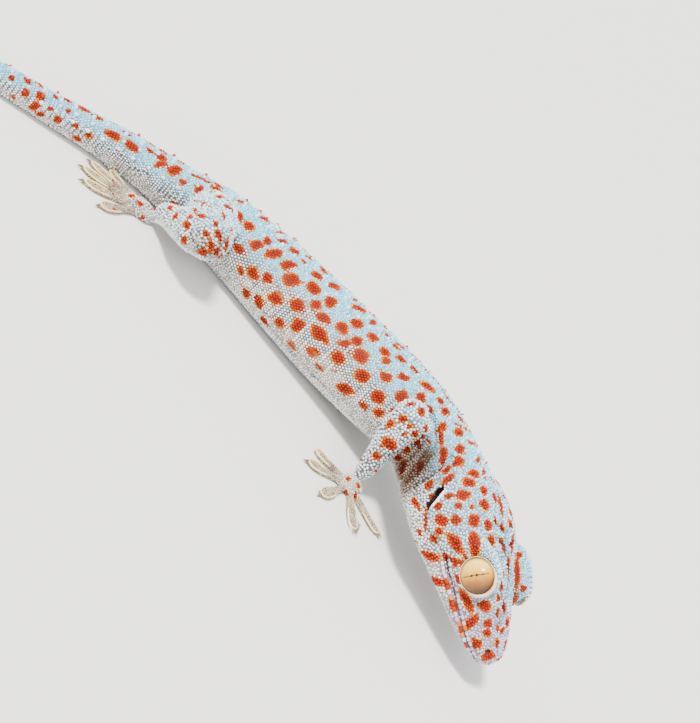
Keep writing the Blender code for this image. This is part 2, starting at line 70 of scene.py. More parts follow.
def addNode(tree, kind, values=None, links=None, stops=None, **settings):
    node = tree.nodes.new(kind)
    for name, value in settings.items():
        setattr(node, name, value)
    for socket, value in (values or {}).items():
        node.inputs[socket].default_value = value
    for socket, source in (links or {}).items():
        tree.links.new(source, node.inputs[socket])
    if stops:
        ramp = node.color_ramp.elements
        ramp.remove(ramp[1])
        ramp[0].position = stops[0][0]
        ramp[0].color = linearColour(stops[0][1])
        for place, colour in stops[1:]:
            ramp.new(place).color = linearColour(colour)
    return node


def newMaterial(name, finish):
    material = bpy.data.materials.new(name)
    material.use_nodes = True
    shader = material.node_tree.nodes["Principled BSDF"]
    for socket, value in finish.items():
        shader.inputs[socket].default_value = value
    return material, material.node_tree, shader


def mottledColour(tree, scale, detail, stops):
    # a colour that changes softly over the piece
    place = addNode(tree, "ShaderNodeTexCoord")
    mottle = addNode(
        tree, "ShaderNodeTexNoise", {"Scale": scale, "Detail": detail}, {"Vector": place.outputs["Object"]}
    )
    return addNode(tree, "ShaderNodeValToRGB", None, {"Fac": mottle.outputs["Fac"]}, stops).outputs["Color"]


def unit(rows):
    return rows / np.maximum(np.linalg.norm(rows, axis=-1, keepdims=True), 1e-12)


def step01(values, start, end):
    t = np.clip((values - start) / (end - start), 0, 1)
    return t * t * (3 - 2 * t)


def pointTree(points):
    tree = KDTree(len(points))
    for number, place in enumerate(points):
        tree.insert(place, number)
    tree.balance()
    return tree


def addObject(name, data):
    made = bpy.data.objects.new(name, data)
    bpy.context.scene.collection.objects.link(made)
    return made


def faceOutwards(mesh):
    builder = bmesh.new()
    builder.from_mesh(mesh)
    bmesh.ops.recalc_face_normals(builder, faces=builder.faces)
    builder.to_mesh(mesh)
    builder.free()


def meshObject(name, corners, faceRows):
    # corners is an array of places, faceRows holds one array of corner numbers for each size of face
    mesh = bpy.data.meshes.new(name)
    mesh.vertices.add(len(corners))
    mesh.vertices.foreach_set("co", np.asarray(corners, np.float32).ravel())
    totals = np.concatenate([np.full(len(rows), rows.shape[1]) for rows in faceRows])
    loops = np.concatenate([rows.ravel() for rows in faceRows])
    mesh.loops.add(len(loops))
    mesh.polygons.add(len(totals))
    mesh.loops.foreach_set("vertex_index", loops.astype(np.int32))
    starts = np.concatenate([[0], np.cumsum(totals)[:-1]])
    mesh.polygons.foreach_set("loop_start", starts.astype(np.int32))
    mesh.update(calc_edges=True)
    mesh.shade_smooth()
    return addObject(name, mesh)


def setAttribute(mesh, name, values):
    attribute = mesh.attributes.new(name, "FLOAT", "POINT")
    attribute.data.foreach_set("value", np.asarray(values, np.float32))


def finishPiece(piece, material, replaced=()):
    piece.data.materials.clear()
    piece.data.materials.append(material)
    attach(piece, "root")
    if replaced:
        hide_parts(*replaced)


# Camera, at the photograph's angle
view = {
    "target": (20.0, 0.0, 11.0),
    "azimuth": 6.0,  # degrees round from the animal's right side
    "elevation": 22.0,
    "roll": 51.0,
    "distance": 330.0,
    "pixelsPerMm": 4.5,
    "picture": (700, 723),
}


def cameraAxes():
    around, above, roll = (math.radians(view[k]) for k in ("azimuth", "elevation", "roll"))
    back = Vector((
        math.sin(around) * math.cos(above),
        -math.cos(around) * math.cos(above),
        math.sin(above),
    ))
    level = Vector((math.cos(around), math.sin(around), 0))
    rise = back.cross(level)
    right = level * math.cos(roll) + rise * math.sin(roll)
    up = rise * math.cos(roll) - level * math.sin(roll)
    return right, up, back


cameraRight, cameraUp, cameraBack = cameraAxes()
cameraPlace = (Vector(view["target"]) + cameraBack * view["distance"]) * mm
focalPixels = view["distance"] * view["pixelsPerMm"]


def addCamera():
    camera = addObject("camera", bpy.data.cameras.new("camera"))
    turn = Matrix((cameraRight, cameraUp, cameraBack)).transposed().to_4x4()
    camera.matrix_world = Matrix.Translation(cameraPlace) @ turn
    camera.data.sensor_width = 36
    camera.data.lens = 36 * focalPixels / max(view["picture"])
    camera.data.clip_start = 0.01
    bpy.context.scene.camera = camera


def sightLine(across, down):
    # direction from the camera through a place in the photograph, in pixels
    width, height = view["picture"]
    line = cameraRight * (across - width / 2) / focalPixels
    line -= cameraUp * (down - height / 2) / focalPixels
    return (line - cameraBack).normalized()


addCamera()
print("camera set")

# Measures of the body, the head and the limbs
body = {
    # place of the axis, half width, height above it and depth below it, from the tail's tip to the neck
    "stations": [
        (-93.0, -104.0, 0.75, 0.5, 0.5, 0.9),
        (-92.5, -92.0, 1.15, 0.95, 0.95, 1.3),
        (-90.5, -80.0, 1.55, 1.45, 1.4, 1.75),
        (-86.0, -67.5, 1.95, 1.9, 1.85, 2.15),
        (-79.0, -55.5, 2.35, 2.35, 2.3, 2.55),
        (-69.5, -43.0, 2.8, 2.8, 2.75, 3.0),
        (-59.5, -31.5, 3.3, 3.3, 3.2, 3.5),
        (-49.6, -19.8, 3.95, 4.2, 4.0, 4.15),
        (-42.5, -13.2, 4.6, 5.0, 4.7, 4.8),
        (-36.0, -9.3, 5.4, 5.8, 5.4, 5.6),
        (-29.5, -7.0, 6.6, 7.0, 6.1, 6.9),
        (-23.0, -4.6, 7.8, 8.6, 6.8, 8.2),
        (-12.5, -1.0, 8.4, 10.4, 7.5, 9.1),
        (1.5, 2.2, 9.2, 12.2, 8.5, 9.9),
        (16.0, 3.9, 10.4, 12.6, 9.1, 10.4),
        (29.5, 3.8, 12.1, 12.2, 9.7, 9.9),
        (40.0, 1.4, 13.8, 11.6, 9.6, 8.9),
        (48.6, -4.3, 14.3, 10.9, 10.0, 7.7),
    ],
    "tailEnd": 10,  # number of the station at the root of the tail
    "neckStart": 16,
    "roundness": 2.15,
}
head = {
    "ear": (57.0, -10.8, 13.2),
    "length": 36.0,
    "yaw": -28.5,
    "pitch": -10.0,
    # distance ahead of the ear, half width, height above the axis and depth below it
    "stations": [
        (0.0, 12.4, 12.2, 6.5),
        (6.0, 13.4, 12.8, 6.2),
        (12.0, 12.3, 12.2, 5.9),
        (18.0, 10.2, 10.7, 5.3),
        (24.0, 8.2, 8.3, 4.3),
        (30.0, 6.1, 5.9, 3.3),
        (34.5, 3.7, 3.7, 2.2),
        (36.0, 0.9, 1.0, 0.7),
    ],
    "mouthCorner": 15.5,
    "mouthTip": -1.35,  # height of the mouth's line at the snout
    "mouthRise": 0.2,  # its climb for each mm back from there
    "nostril": (34.4, 2.65, 2.2),
    "earSlit": (3.5, 5.1),
    "earSlant": -41.0,
    "earHalf": (0.74, 2.6),
}
limbs = {
    # shoulder or hip, elbow or knee, wrist or ankle, then the middle of the foot
    "frontRight": [(45.0, -3.6, 10.6), (38.6, -14.2, 20.4), (41.6, -15.2, 5.0), (42.4, -17.0, 1.5)],
    "frontLeft": [(43.0, 5.5, 10.5), (33.6, 18.2, 13.4), (41.4, 29.6, 4.6), (42.8, 32.4, 1.5)],
    "hindRight": [(-25.0, -6.0, 8.6), (-16.4, -24.0, 11.8), (-28.4, -17.6, 4.4), (-32.6, -19.4, 1.5)],
    "hindLeft": [(-23.0, -1.0, 8.0), (-7.4, 15.0, 6.2), (-11.2, 28.6, 4.2), (-12.4, 31.8, 1.5)],
}


def headAxes():
    yaw, pitch = math.radians(head["yaw"]), math.radians(head["pitch"])
    forward = Vector((
        math.cos(pitch) * math.cos(yaw),
        math.cos(pitch) * math.sin(yaw),
        math.sin(pitch),
    ))
    left = Vector((0, 0, 1)).cross(forward).normalized()
    return forward, left, forward.cross(left)


headTurn = np.array(headAxes())
headOrigin = np.array(head["ear"]) * mm


def fromHead(rows):
    # places from distances ahead of the ear, out to the left and above the axis
    return headOrigin + (np.asarray(rows, float) * mm) @ headTurn


def toHead(points):
    return (points - headOrigin) @ headTurn.T / mm


def bodyTrack(samples=700):
    # the smooth axis from the tail's tip to the snout
    rows = list(body["stations"])
    for ahead, width, top, depth in head["stations"]:
        rows.append((*(fromHead([ahead, 0, 0]) / mm), width, top, depth))
    rows = np.array(rows) * mm
    steps = np.linalg.norm(np.diff(rows[:, :3], axis=0), axis=1)
    reach = np.concatenate([[0.0], np.cumsum(steps)])
    slopes = np.gradient(rows, reach, axis=0)
    at = np.linspace(0, reach[-1], samples)
    i = np.clip(np.searchsorted(reach, at) - 1, 0, len(reach) - 2)
    span = (reach[i + 1] - reach[i])[:, None]
    t = (at - reach[i])[:, None] / span
    track = (
        (2 * t**3 - 3 * t**2 + 1) * rows[i]
        + (t**3 - 2 * t**2 + t) * span * slopes[i]
        + (3 * t**2 - 2 * t**3) * rows[i + 1]
        + (t**3 - t**2) * span * slopes[i + 1]
    )
    forward = unit(np.gradient(track[:, :3], axis=0))
    left = unit(np.cross([0, 0, 1], forward))
    return {
        "at": at,
        "place": track[:, :3],
        "size": track[:, 3:],
        "forward": forward,
        "left": left,
        "up": np.cross(forward, left),
        "reach": reach,
    }


track = bodyTrack()
tailReach = track["reach"][body["tailEnd"]]
neckReach = track["reach"][body["neckStart"]]
earReach = track["reach"][len(body["stations"])]
trackTree = pointTree(track["place"])


def toBody(points):
    # axis sample's number, then the distance forward, left and up from it
    number = np.array([trackTree.find(p)[1] for p in points])
    away = points - track["place"][number]
    parts = [np.einsum("ij,ij->i", away, track[k][number]) for k in ("forward", "left", "up")]
    return number, np.stack(parts, axis=1)


def alongAndAngle(points):
    # distance along the body, and angle round it from the left over the back
    number, parts = toBody(points)
    return track["at"][number] + parts[:, 0], np.arctan2(parts[:, 2], parts[:, 1])


def mirrored(points):
    # the places on the other side of the body's own middle plane
    number, parts = toBody(points)
    parts[:, 1] *= -1
    rows = track["place"][number].copy()
    for k, name in enumerate(("forward", "left", "up")):
        rows += track[name][number] * parts[:, k : k + 1]
    return rows


# Skin: one surface over all the flesh
skin = {
    "swell": 0.24,  # closes the gaps between the solids before they become one
    "voxel": 0.3,
    "coatDepth": {"body": 0.2, "head": 0.16, "limb": 0.16, "paw": 0.08, "toe": 0.0},
    "smoothing": {"body": 80, "head": 14, "limb": 24, "paw": 8, "toe": 3},
    "facesKept": 0.41,
}
kinds = ("body", "head", "limb", "paw", "toe")
kindOfNode = {
    "head": "head",
    "upper": "limb",
    "forearm": "limb",
    "thigh": "limb",
    "shank": "limb",
    "hand": "paw",
    "foot": "paw",
    "finger": "toe",
    "toe": "toe",
}
fleshNodes = sorted(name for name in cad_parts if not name.startswith("eye"))


eye = {
    "place": (20.8, 6.6, 7.1),
    "aim": (0.2, 0.93, 0.3),
    "radius": 4.15,
    "opening": 3.75,  # half the opening's length; across the slit it is narrower
    "squeeze": 0.93,
    "slitTurn": -9.5,
}
brow = {
    "raised": 0.3,
    "back": 0.25,
    "size": (4.7, 4.85, 3.75),
    "behind": 10.0,  # its reach towards the neck
    "flare": 0.15,
}


def eyePose(side):
    # an eye's middle and aim, with the side across its slit and along it; side is 1 on the left
    ahead, out, above = eye["place"]
    middle = Vector(fromHead([ahead, side * out, above]))
    ax, ay, az = eye["aim"]
    aim = Vector(np.array([ax, side * ay, az]) @ headTurn).normalized()
    forward = Vector(headTurn[0])
    snout = (forward - aim * forward.dot(aim)).normalized()
    return middle, aim, snout, aim.cross(snout)


def mergedCopy(name):
    copy = bmesh.new()
    copy.from_mesh(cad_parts[name].data)
    bmesh.ops.remove_doubles(copy, verts=copy.verts, dist=1e-6)
    copy.normal_update()
    return copy


def browPlace(side):
    # the mound of skin that carries an eye: its middle and its axes along, across and out of the eye
    middle, aim, snout, across = eyePose(side)
    upward = 1 if across.dot(Vector(headTurn[2])) > 0 else -1
    moved = across * upward * brow["raised"] - snout * brow["back"]
    return middle + moved * mm, (snout, across, aim)


def addBrow(joined, side):
    middle, axes = browPlace(side)
    made = bmesh.ops.create_uvsphere(joined, u_segments=40, v_segments=24, radius=1.0)
    for v in made["verts"]:
        along, side, out = v.co
        reach = along * (brow["size"][0] if along > 0 else brow["behind"])
        flare = max(0, -reach) * brow["flare"] * math.sqrt(max(0, 1 - along**2))
        parts = reach, side * brow["size"][1], out * brow["size"][2] + flare
        v.co = middle + sum((axis * part * mm for axis, part in zip(axes, parts)), Vector())


def solidsFinder():
    # a search tree over the solids, with the kind of flesh of each face
    corners, faces, faceKinds = [], [], []
    for name in fleshNodes:
        kind = kinds.index(kindOfNode.get(name.split("_")[0], "body"))
        copy = mergedCopy(name)
        base = len(corners)
        corners += [v.co.copy() for v in copy.verts]
        faces += [[base + v.index for v in face.verts] for face in copy.faces]
        faceKinds += [kind] * len(copy.faces)
        copy.free()
    return BVHTree.FromPolygons(corners, faces), np.array(faceKinds)


def joinedFlesh():
    joined = bmesh.new()
    for name in fleshNodes:
        copy = mergedCopy(name)
        moves = [v.normal * min(v.calc_shell_factor(), 1.5) for v in copy.verts]
        for v, move in zip(copy.verts, moves):
            v.co += move * skin["swell"] * mm
        swollen = bpy.data.meshes.new("swollen")
        copy.to_mesh(swollen)
        copy.free()
        joined.from_mesh(swollen)
        bpy.data.meshes.remove(swollen)
    for side in (1, -1):
        addBrow(joined, side)
    mesh = bpy.data.meshes.new("skin")
    joined.to_mesh(mesh)
    joined.free()
    return addObject("skin", mesh)


def applyModifiers(piece):
    bpy.ops.object.select_all(action="DESELECT")
    bpy.context.view_layer.objects.active = piece
    piece.select_set(True)
    for modifier in list(piece.modifiers):
        bpy.ops.object.modifier_apply(modifier=modifier.name)


def keepLargest(mesh):
    builder = bmesh.new()
    builder.from_mesh(mesh)
    unseen = set(builder.verts)
    shells = []
    while unseen:
        stack = [unseen.pop()]
        shell = []
        while stack:
            v = stack.pop()
            shell.append(v)
            for edge in v.link_edges:
                other = edge.other_vert(v)
                if other in unseen:
                    unseen.remove(other)
                    stack.append(other)
        shells.append(shell)
    shells.sort(key=len)
    for shell in shells[:-1]:
        bmesh.ops.delete(builder, geom=shell, context="VERTS")
    builder.to_mesh(mesh)
    builder.free()


def readRows(rows, name, width, kind=np.float32):
    flat = np.zeros(len(rows) * width, kind)
    rows.foreach_get(name, flat)
    return flat.reshape(-1, width)


def readCorners(mesh):
    return readRows(mesh.vertices, "co", 3).astype(float)


def readNormals(mesh):
    return readRows(mesh.vertices, "normal", 3).astype(float)


def writeCorners(mesh, corners):
    mesh.vertices.foreach_set("co", corners.astype(np.float32).ravel())
    mesh.update()


def neighbourMean(values, edges):
    count = len(values)
    degree = np.bincount(edges.ravel(), minlength=count)
    total = np.zeros_like(values)
    for k in range(values.shape[1]):
        total[:, k] = np.bincount(edges[:, 0], values[edges[:, 1], k], count)
        total[:, k] += np.bincount(edges[:, 1], values[edges[:, 0], k], count)
    return total / np.maximum(degree, 1)[:, None]


def kindsAt(points):
    faces = [solidTree.find_nearest(Vector(p))[2] for p in points]
    return solidKinds[faces]


def ofKind(kindNumbers, *names):
    return np.isin(kindNumbers, [kinds.index(name) for name in names])


def treeOf(mesh):
    return BVHTree.FromPolygons(
        [v.co for v in mesh.vertices], [tuple(face.vertices) for face in mesh.polygons]
    )


def smoothSkin(mesh):
    # strong on the trunk, light on the head, hands and toes; what it takes away evenly is given back
    corners = readCorners(mesh)
    edges = readRows(mesh.edges, "vertices", 2, np.int32)
    kindNumbers = kindsAt(corners)
    rounds = np.array([skin["smoothing"][k] for k in kinds], float)[kindNumbers][:, None]
    depth = np.array([skin["coatDepth"][k] for k in kinds])[kindNumbers][:, None]
    for _ in range(12):
        rounds = neighbourMean(rounds, edges)
        depth = neighbourMean(depth, edges)
    before = treeOf(mesh)
    for step in range(int(rounds.max())):
        share = np.clip(rounds - step, 0, 1) * 0.5
        corners += (neighbourMean(corners, edges) - corners) * share
    writeCorners(mesh, corners)
    normals = readNormals(mesh)
    nearest = np.array([before.find_nearest(Vector(c))[0] for c in corners])
    lost = np.einsum("ij,ij->i", nearest - corners, normals)[:, None]
    for step in range(30):
        lost += (neighbourMean(lost, edges) - lost) * np.clip(rounds - step, 0, 1)
    corners += normals * (lost - (skin["swell"] + depth) * mm)
    corners[:, 2] = np.maximum(corners[:, 2], 0.00002)
    writeCorners(mesh, corners)


def makeSkin():
    piece = joinedFlesh()
    remesh = piece.modifiers.new("voxels", "REMESH")
    remesh.mode = "VOXEL"
    remesh.voxel_size = skin["voxel"] * mm * 1
    applyModifiers(piece)
    keepLargest(piece.data)
    smoothSkin(piece.data)
    return piece


solidTree, solidKinds = solidsFinder()
skinPiece = makeSkin()
print("skin joined,", len(skinPiece.data.vertices), "corners")


# Folds and openings, pressed into the skin
folds = {
    # polylines in the photograph's pixels, then depth and half width
    "head": [
        ([(496, 538), (502, 545), (506, 555), (509, 573), (507, 590), (502, 606), (499, 624)], 0.9, 0.42),
        ([(430, 532), (438, 545), (446, 555), (448, 572)], 0.6, 0.35),
        ([(447, 606), (453, 625), (461, 643), (470, 655)], 0.3, 0.3),
        ([(495, 522), (503, 532), (508, 547)], 0.6, 0.4),
    ],
    "neck": [
        ([(452, 456), (441, 468), (430, 477), (414, 487)], 1.0, 0.5),
        ([(431, 412), (435, 424), (436, 436), (434, 447), (428, 460), (418, 472), (408, 484)], 1.1, 0.5),
        ([(455, 464), (441, 479), (430, 489)], 0.4, 0.4),
    ],
    "armpit": [
        ([(408, 486), (420, 475), (428, 464)], 0.4, 0.36),
        ([(401, 480), (413, 469), (424, 457), (430, 446)], 0.5, 0.36),
        ([(398, 470), (408, 462), (419, 451), (428, 438)], 0.5, 0.36),
        ([(399, 461), (409, 453), (418, 442), (425, 430)], 0.42, 0.34),
    ],
    "knee": [
        ([(227, 200), (231, 210), (234.5, 222), (235, 236), (232, 248), (228, 256)], 0.8, 0.5),
        ([(196, 202), (208, 203), (220, 208), (228, 220), (230, 233), (226, 248)], 0.4, 0.38),
        ([(199, 210), (209, 210.5), (218, 216), (223, 227), (221.5, 240), (215, 251)], 0.34, 0.36),
        ([(201, 218), (209, 218), (215, 224), (216, 234), (210, 246)], 0.3, 0.34),
        ([(192, 238), (199, 246), (207, 252)], 0.25, 0.34),
    ],
    "flank": [
        ([(262, 318), (285, 344), (310, 371), (335, 396)], 0.25, 0.6),
    ],
}


def sightHit(tree, across, down):
    return tree.ray_cast(cameraPlace, sightLine(across, down))


def foldLine(tree, pixels):
    # a dense row of places on the skin under a polyline of the photograph
    rows = []
    for (x0, y0), (x1, y1) in zip(pixels, pixels[1:]):
        steps = max(2, int(math.hypot(x1 - x0, y1 - y0)))
        for k in range(steps):
            t = k / steps
            place = sightHit(tree, x0 + (x1 - x0) * t, y0 + (y1 - y0) * t)[0]
            if place is not None:
                rows.append(place)
    return np.array(rows)


def pressFold(corners, normals, line, depth, wide):
    near = pointTree(line)
    low, high = line.min(0) - 3 * mm, line.max(0) + 3 * mm
    inside = np.nonzero(np.all((corners > low) & (corners < high), axis=1))[0]
    away = np.array([near.find(corners[i])[2] for i in inside]) / (wide * mm)
    move = -depth * np.exp(-(away**2)) + 0.25 * depth * np.exp(-((away - 2.2) ** 2))
    corners[inside] += normals[inside] * move[:, None] * mm


creaseLines = []


def pressFolds(mesh):
    tree = treeOf(mesh)
    corners, normals = readCorners(mesh), readNormals(mesh)
    for group in folds.values():
        for pixels, depth, wide in group:
            line = foldLine(tree, pixels)
            if len(line) < 3:
                continue
            pressFold(corners, normals, line, depth, wide)
            creaseLines.append((line, depth, wide))
            other = np.array([tree.find_nearest(Vector(p))[0] for p in mirrored(line)])
            pressFold(corners, normals, other, depth, wide)
            creaseLines.append((other, depth, wide))
    writeCorners(mesh, corners)


def mouthLine(ahead):
    return head["mouthTip"] + head["mouthRise"] * (head["length"] - ahead)


def headWidth(ahead):
    rows = np.array(head["stations"])
    return np.interp(ahead, rows[:, 0], rows[:, 1])


def earShares(rows):
    # distances across and along the ear opening, in mm, for rows in the head's own axes
    slant = math.radians(head["earSlant"])
    ahead = rows[:, 0] - head["earSlit"][0]
    above = rows[:, 2] - head["earSlit"][1]
    across = ahead * math.cos(slant) - above * math.sin(slant)
    along = ahead * math.sin(slant) + above * math.cos(slant)
    return across, along


def nostrilDistance(rows, side):
    return np.linalg.norm(rows - np.array(head["nostril"]) * (1, side, 1), axis=1)


def onJaws(rows):
    sides = np.abs(rows[:, 1]) > headWidth(rows[:, 0]) * 0.5
    return sides & (rows[:, 0] < head["length"] + 2)


def besideEar(rows):
    return np.abs(rows[:, 1]) > headWidth(head["earSlit"][0]) * 0.3


def eyeRing(points, side):
    # distance from an eye's aim in mm, in ovals of the shape of its opening
    middle, _, snout, across = (np.array(v) for v in eyePose(side))
    away = points - middle
    return np.hypot(away @ snout, away @ across / eye["squeeze"]) / mm


features = {
    # depths, heights and half widths of the face's forms, in mm
    "throatRise": 0.9,
    "throatNarrow": 0.05,
    "mouthDepth": 0.5,
    "mouthHalf": 0.26,
    "lipSwell": 0.1,
    "nostril": 0.66,
    "nostrilDepth": 1.1,
    "nostrilRim": 0.16,
    "earRim": 0.1,
    "earDepth": 2.2,
    "rimHeight": 1.65,  # of the skin behind an eye, over the eye's middle
    "rimSlope": 0.8,
    "eyeCover": 0.35,  # skin that is drawn in under an eye's opening
}


def swell(gap, half):
    return np.exp(-((gap / half) ** 2))


def pressFace(mesh):
    corners, normals = readCorners(mesh), readNormals(mesh)
    rows = toHead(corners)
    ahead, out, above = rows.T
    move = np.zeros(len(rows))
    # the mouth's line, with the lips swelling beside it
    rise = above - mouthLine(ahead)
    mouth = step01(ahead, head["mouthCorner"] - 1, head["mouthCorner"] + 1.5)
    outside = np.maximum(step01(np.abs(out) / headWidth(ahead), 0.55, 0.75), step01(ahead, 34, 35))
    mouth = mouth * outside * (ahead < head["length"] + 2)
    move -= mouth * features["mouthDepth"] * swell(rise, features["mouthHalf"])
    move += mouth * features["lipSwell"] * (swell(rise - 0.8, 0.5) + swell(rise + 0.8, 0.5))
    # nostrils
    for side in (1, -1):
        away = nostrilDistance(rows, side)
        move -= features["nostrilDepth"] * swell(away, features["nostril"])
        move += features["nostrilRim"] * swell(away - 1.2, 0.32)
    # ear openings, with a raised rim on the head's side
    across, along = earShares(rows)
    wide, long = head["earHalf"]
    ring = np.hypot(across / wide, along / long)
    beside = besideEar(rows)
    rim = swell(across - 0.95, 0.4) * step01(-np.abs(along), -3.1, -1.9)
    rim += 0.3 * swell(across + 1.0, 0.4) * step01(-np.abs(along), -2.9, -1.7)
    move += beside * (features["earRim"] * rim)
    corners += normals * move[:, None] * mm
    # a flat, drawn-in throat
    throat = step01(-above, 0.8, 5) * step01(ahead, -2, 4) * step01(-ahead, -33, -20)
    corners += headTurn[2] * (throat * features["throatRise"])[:, None] * mm
    corners -= headTurn[1] * (out * throat * features["throatNarrow"])[:, None] * mm
    pit = beside * step01(-ring, -1.08, -0.8)
    inward = -np.sign(out)[:, None] * headTurn[1]
    outermost = step01(np.abs(out) / headWidth(2.6), 0.6, 0.85)
    depth = features["earDepth"] * pit * outermost
    corners += inward * depth[:, None] * mm
    # room for the eyes, with the skin behind each falling to its rim
    for side in (1, -1):
        middle, aim, snout, _ = (np.array(v) for v in eyePose(side))
        away = corners - middle
        ring = eyeRing(corners, side)
        high = away @ aim / mm
        past = ring - eye["opening"] - 0.3
        top = features["rimHeight"] + features["rimSlope"] * np.maximum(past, 0)
        behind = step01(-(away @ snout) / mm / np.maximum(ring, 0.1), -0.3, 0.5)
        lower = np.maximum(high - top, 0) * behind * step01(-past, -3.6, -1.2)
        corners -= np.outer(lower, aim) * mm
        away = corners - middle
        distance = np.linalg.norm(away, axis=1)
        inner = (eye["radius"] - features["eyeCover"]) * mm
        covered = (eyeRing(corners, side) < eye["opening"] + features["eyeCover"]) & (away @ aim > 0)
        scale = np.where(covered & (distance > inner), inner / np.maximum(distance, 1e-9), 1)
        corners = middle + away * scale[:, None]
    writeCorners(mesh, corners)


def toeFrame(name):
    # a toe's root and tip on the floor, with its directions along and to the side
    corners = readCorners(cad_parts[name].data)
    flat = corners[:, :2] - corners[:, :2].mean(0)
    way = np.linalg.eigh(flat.T @ flat)[1][:, 1]
    feet = np.array([joints[-1][:2] for joints in limbs.values()]) * mm
    middle = corners[:, :2].mean(0)
    foot = feet[np.argmin(np.linalg.norm(feet - middle, axis=1))]
    way = way if way @ (middle - foot) > 0 else -way
    reach = flat @ way
    length = np.ptp(reach) / (0.99 if name.endswith("_1") else 1.12)
    root = middle + way * reach.min()
    return root, way, np.array([-way[1], way[0]]), length


def pressToes(mesh):
    # the pads are low and dished inside their rims
    corners = readCorners(mesh)
    for name in fleshNodes:
        if not name.startswith(("finger", "toe")):
            continue
        root, way, side, length = toeFrame(name)
        gap = corners[:, :2] - root
        along, out = gap @ way / length, np.abs(gap @ side) / mm
        level = (corners[:, 2] > 0.6 * mm) & (corners[:, 2] < 1.9 * mm)
        inside = (along > 0.42) & (along < 1.2) & (out < 2.0) & level
        share = step01(along, 0.42, 0.6) * inside
        low = 0.0006 + (corners[:, 2] - 0.0006) * 0.3
        corners[:, 2] += (low - corners[:, 2]) * share
    writeCorners(mesh, corners)


def coarsenTrunk(piece):
    # fewer faces where the form is plain, all of them on the face, hands and feet
    corners = readCorners(piece.data)
    kindNumbers = kindsAt(corners)
    plain = ofKind(kindNumbers, "body", "limb")
    rows = toHead(corners)
    plain &= (rows[:, 0] < -3) | (np.hypot(*earShares(rows)) > 5)
    group = piece.vertex_groups.new(name="plain")
    group.add([int(i) for i in np.nonzero(plain)[0]], 1.0, "ADD")
    fewer = piece.modifiers.new("fewer", "DECIMATE")
    fewer.ratio = skin["facesKept"]
    fewer.vertex_group = "plain"
    applyModifiers(piece)
    piece.vertex_groups.clear()


pressFolds(skinPiece.data)
pressFace(skinPiece.data)
pressToes(skinPiece.data)
coarsenTrunk(skinPiece)
skinPiece.data.shade_smooth()
skinTree = treeOf(skinPiece.data)
skinCorners = readCorners(skinPiece.data)
skinNormals = readNormals(skinPiece.data)
faceCorners = [tuple(face.vertices) for face in skinPiece.data.polygons]
faceNormals = unit(np.array([skinNormals[list(c)].sum(0) for c in faceCorners]))
print("skin shaped,", len(faceCorners), "faces")


def ontoSkin(points):
    # nearest places on the skin, with its smooth direction there
    found = [skinTree.find_nearest(Vector(p)) for p in points]
    places = np.array([row[0] for row in found])
    return places, faceNormals[[row[2] for row in found]]


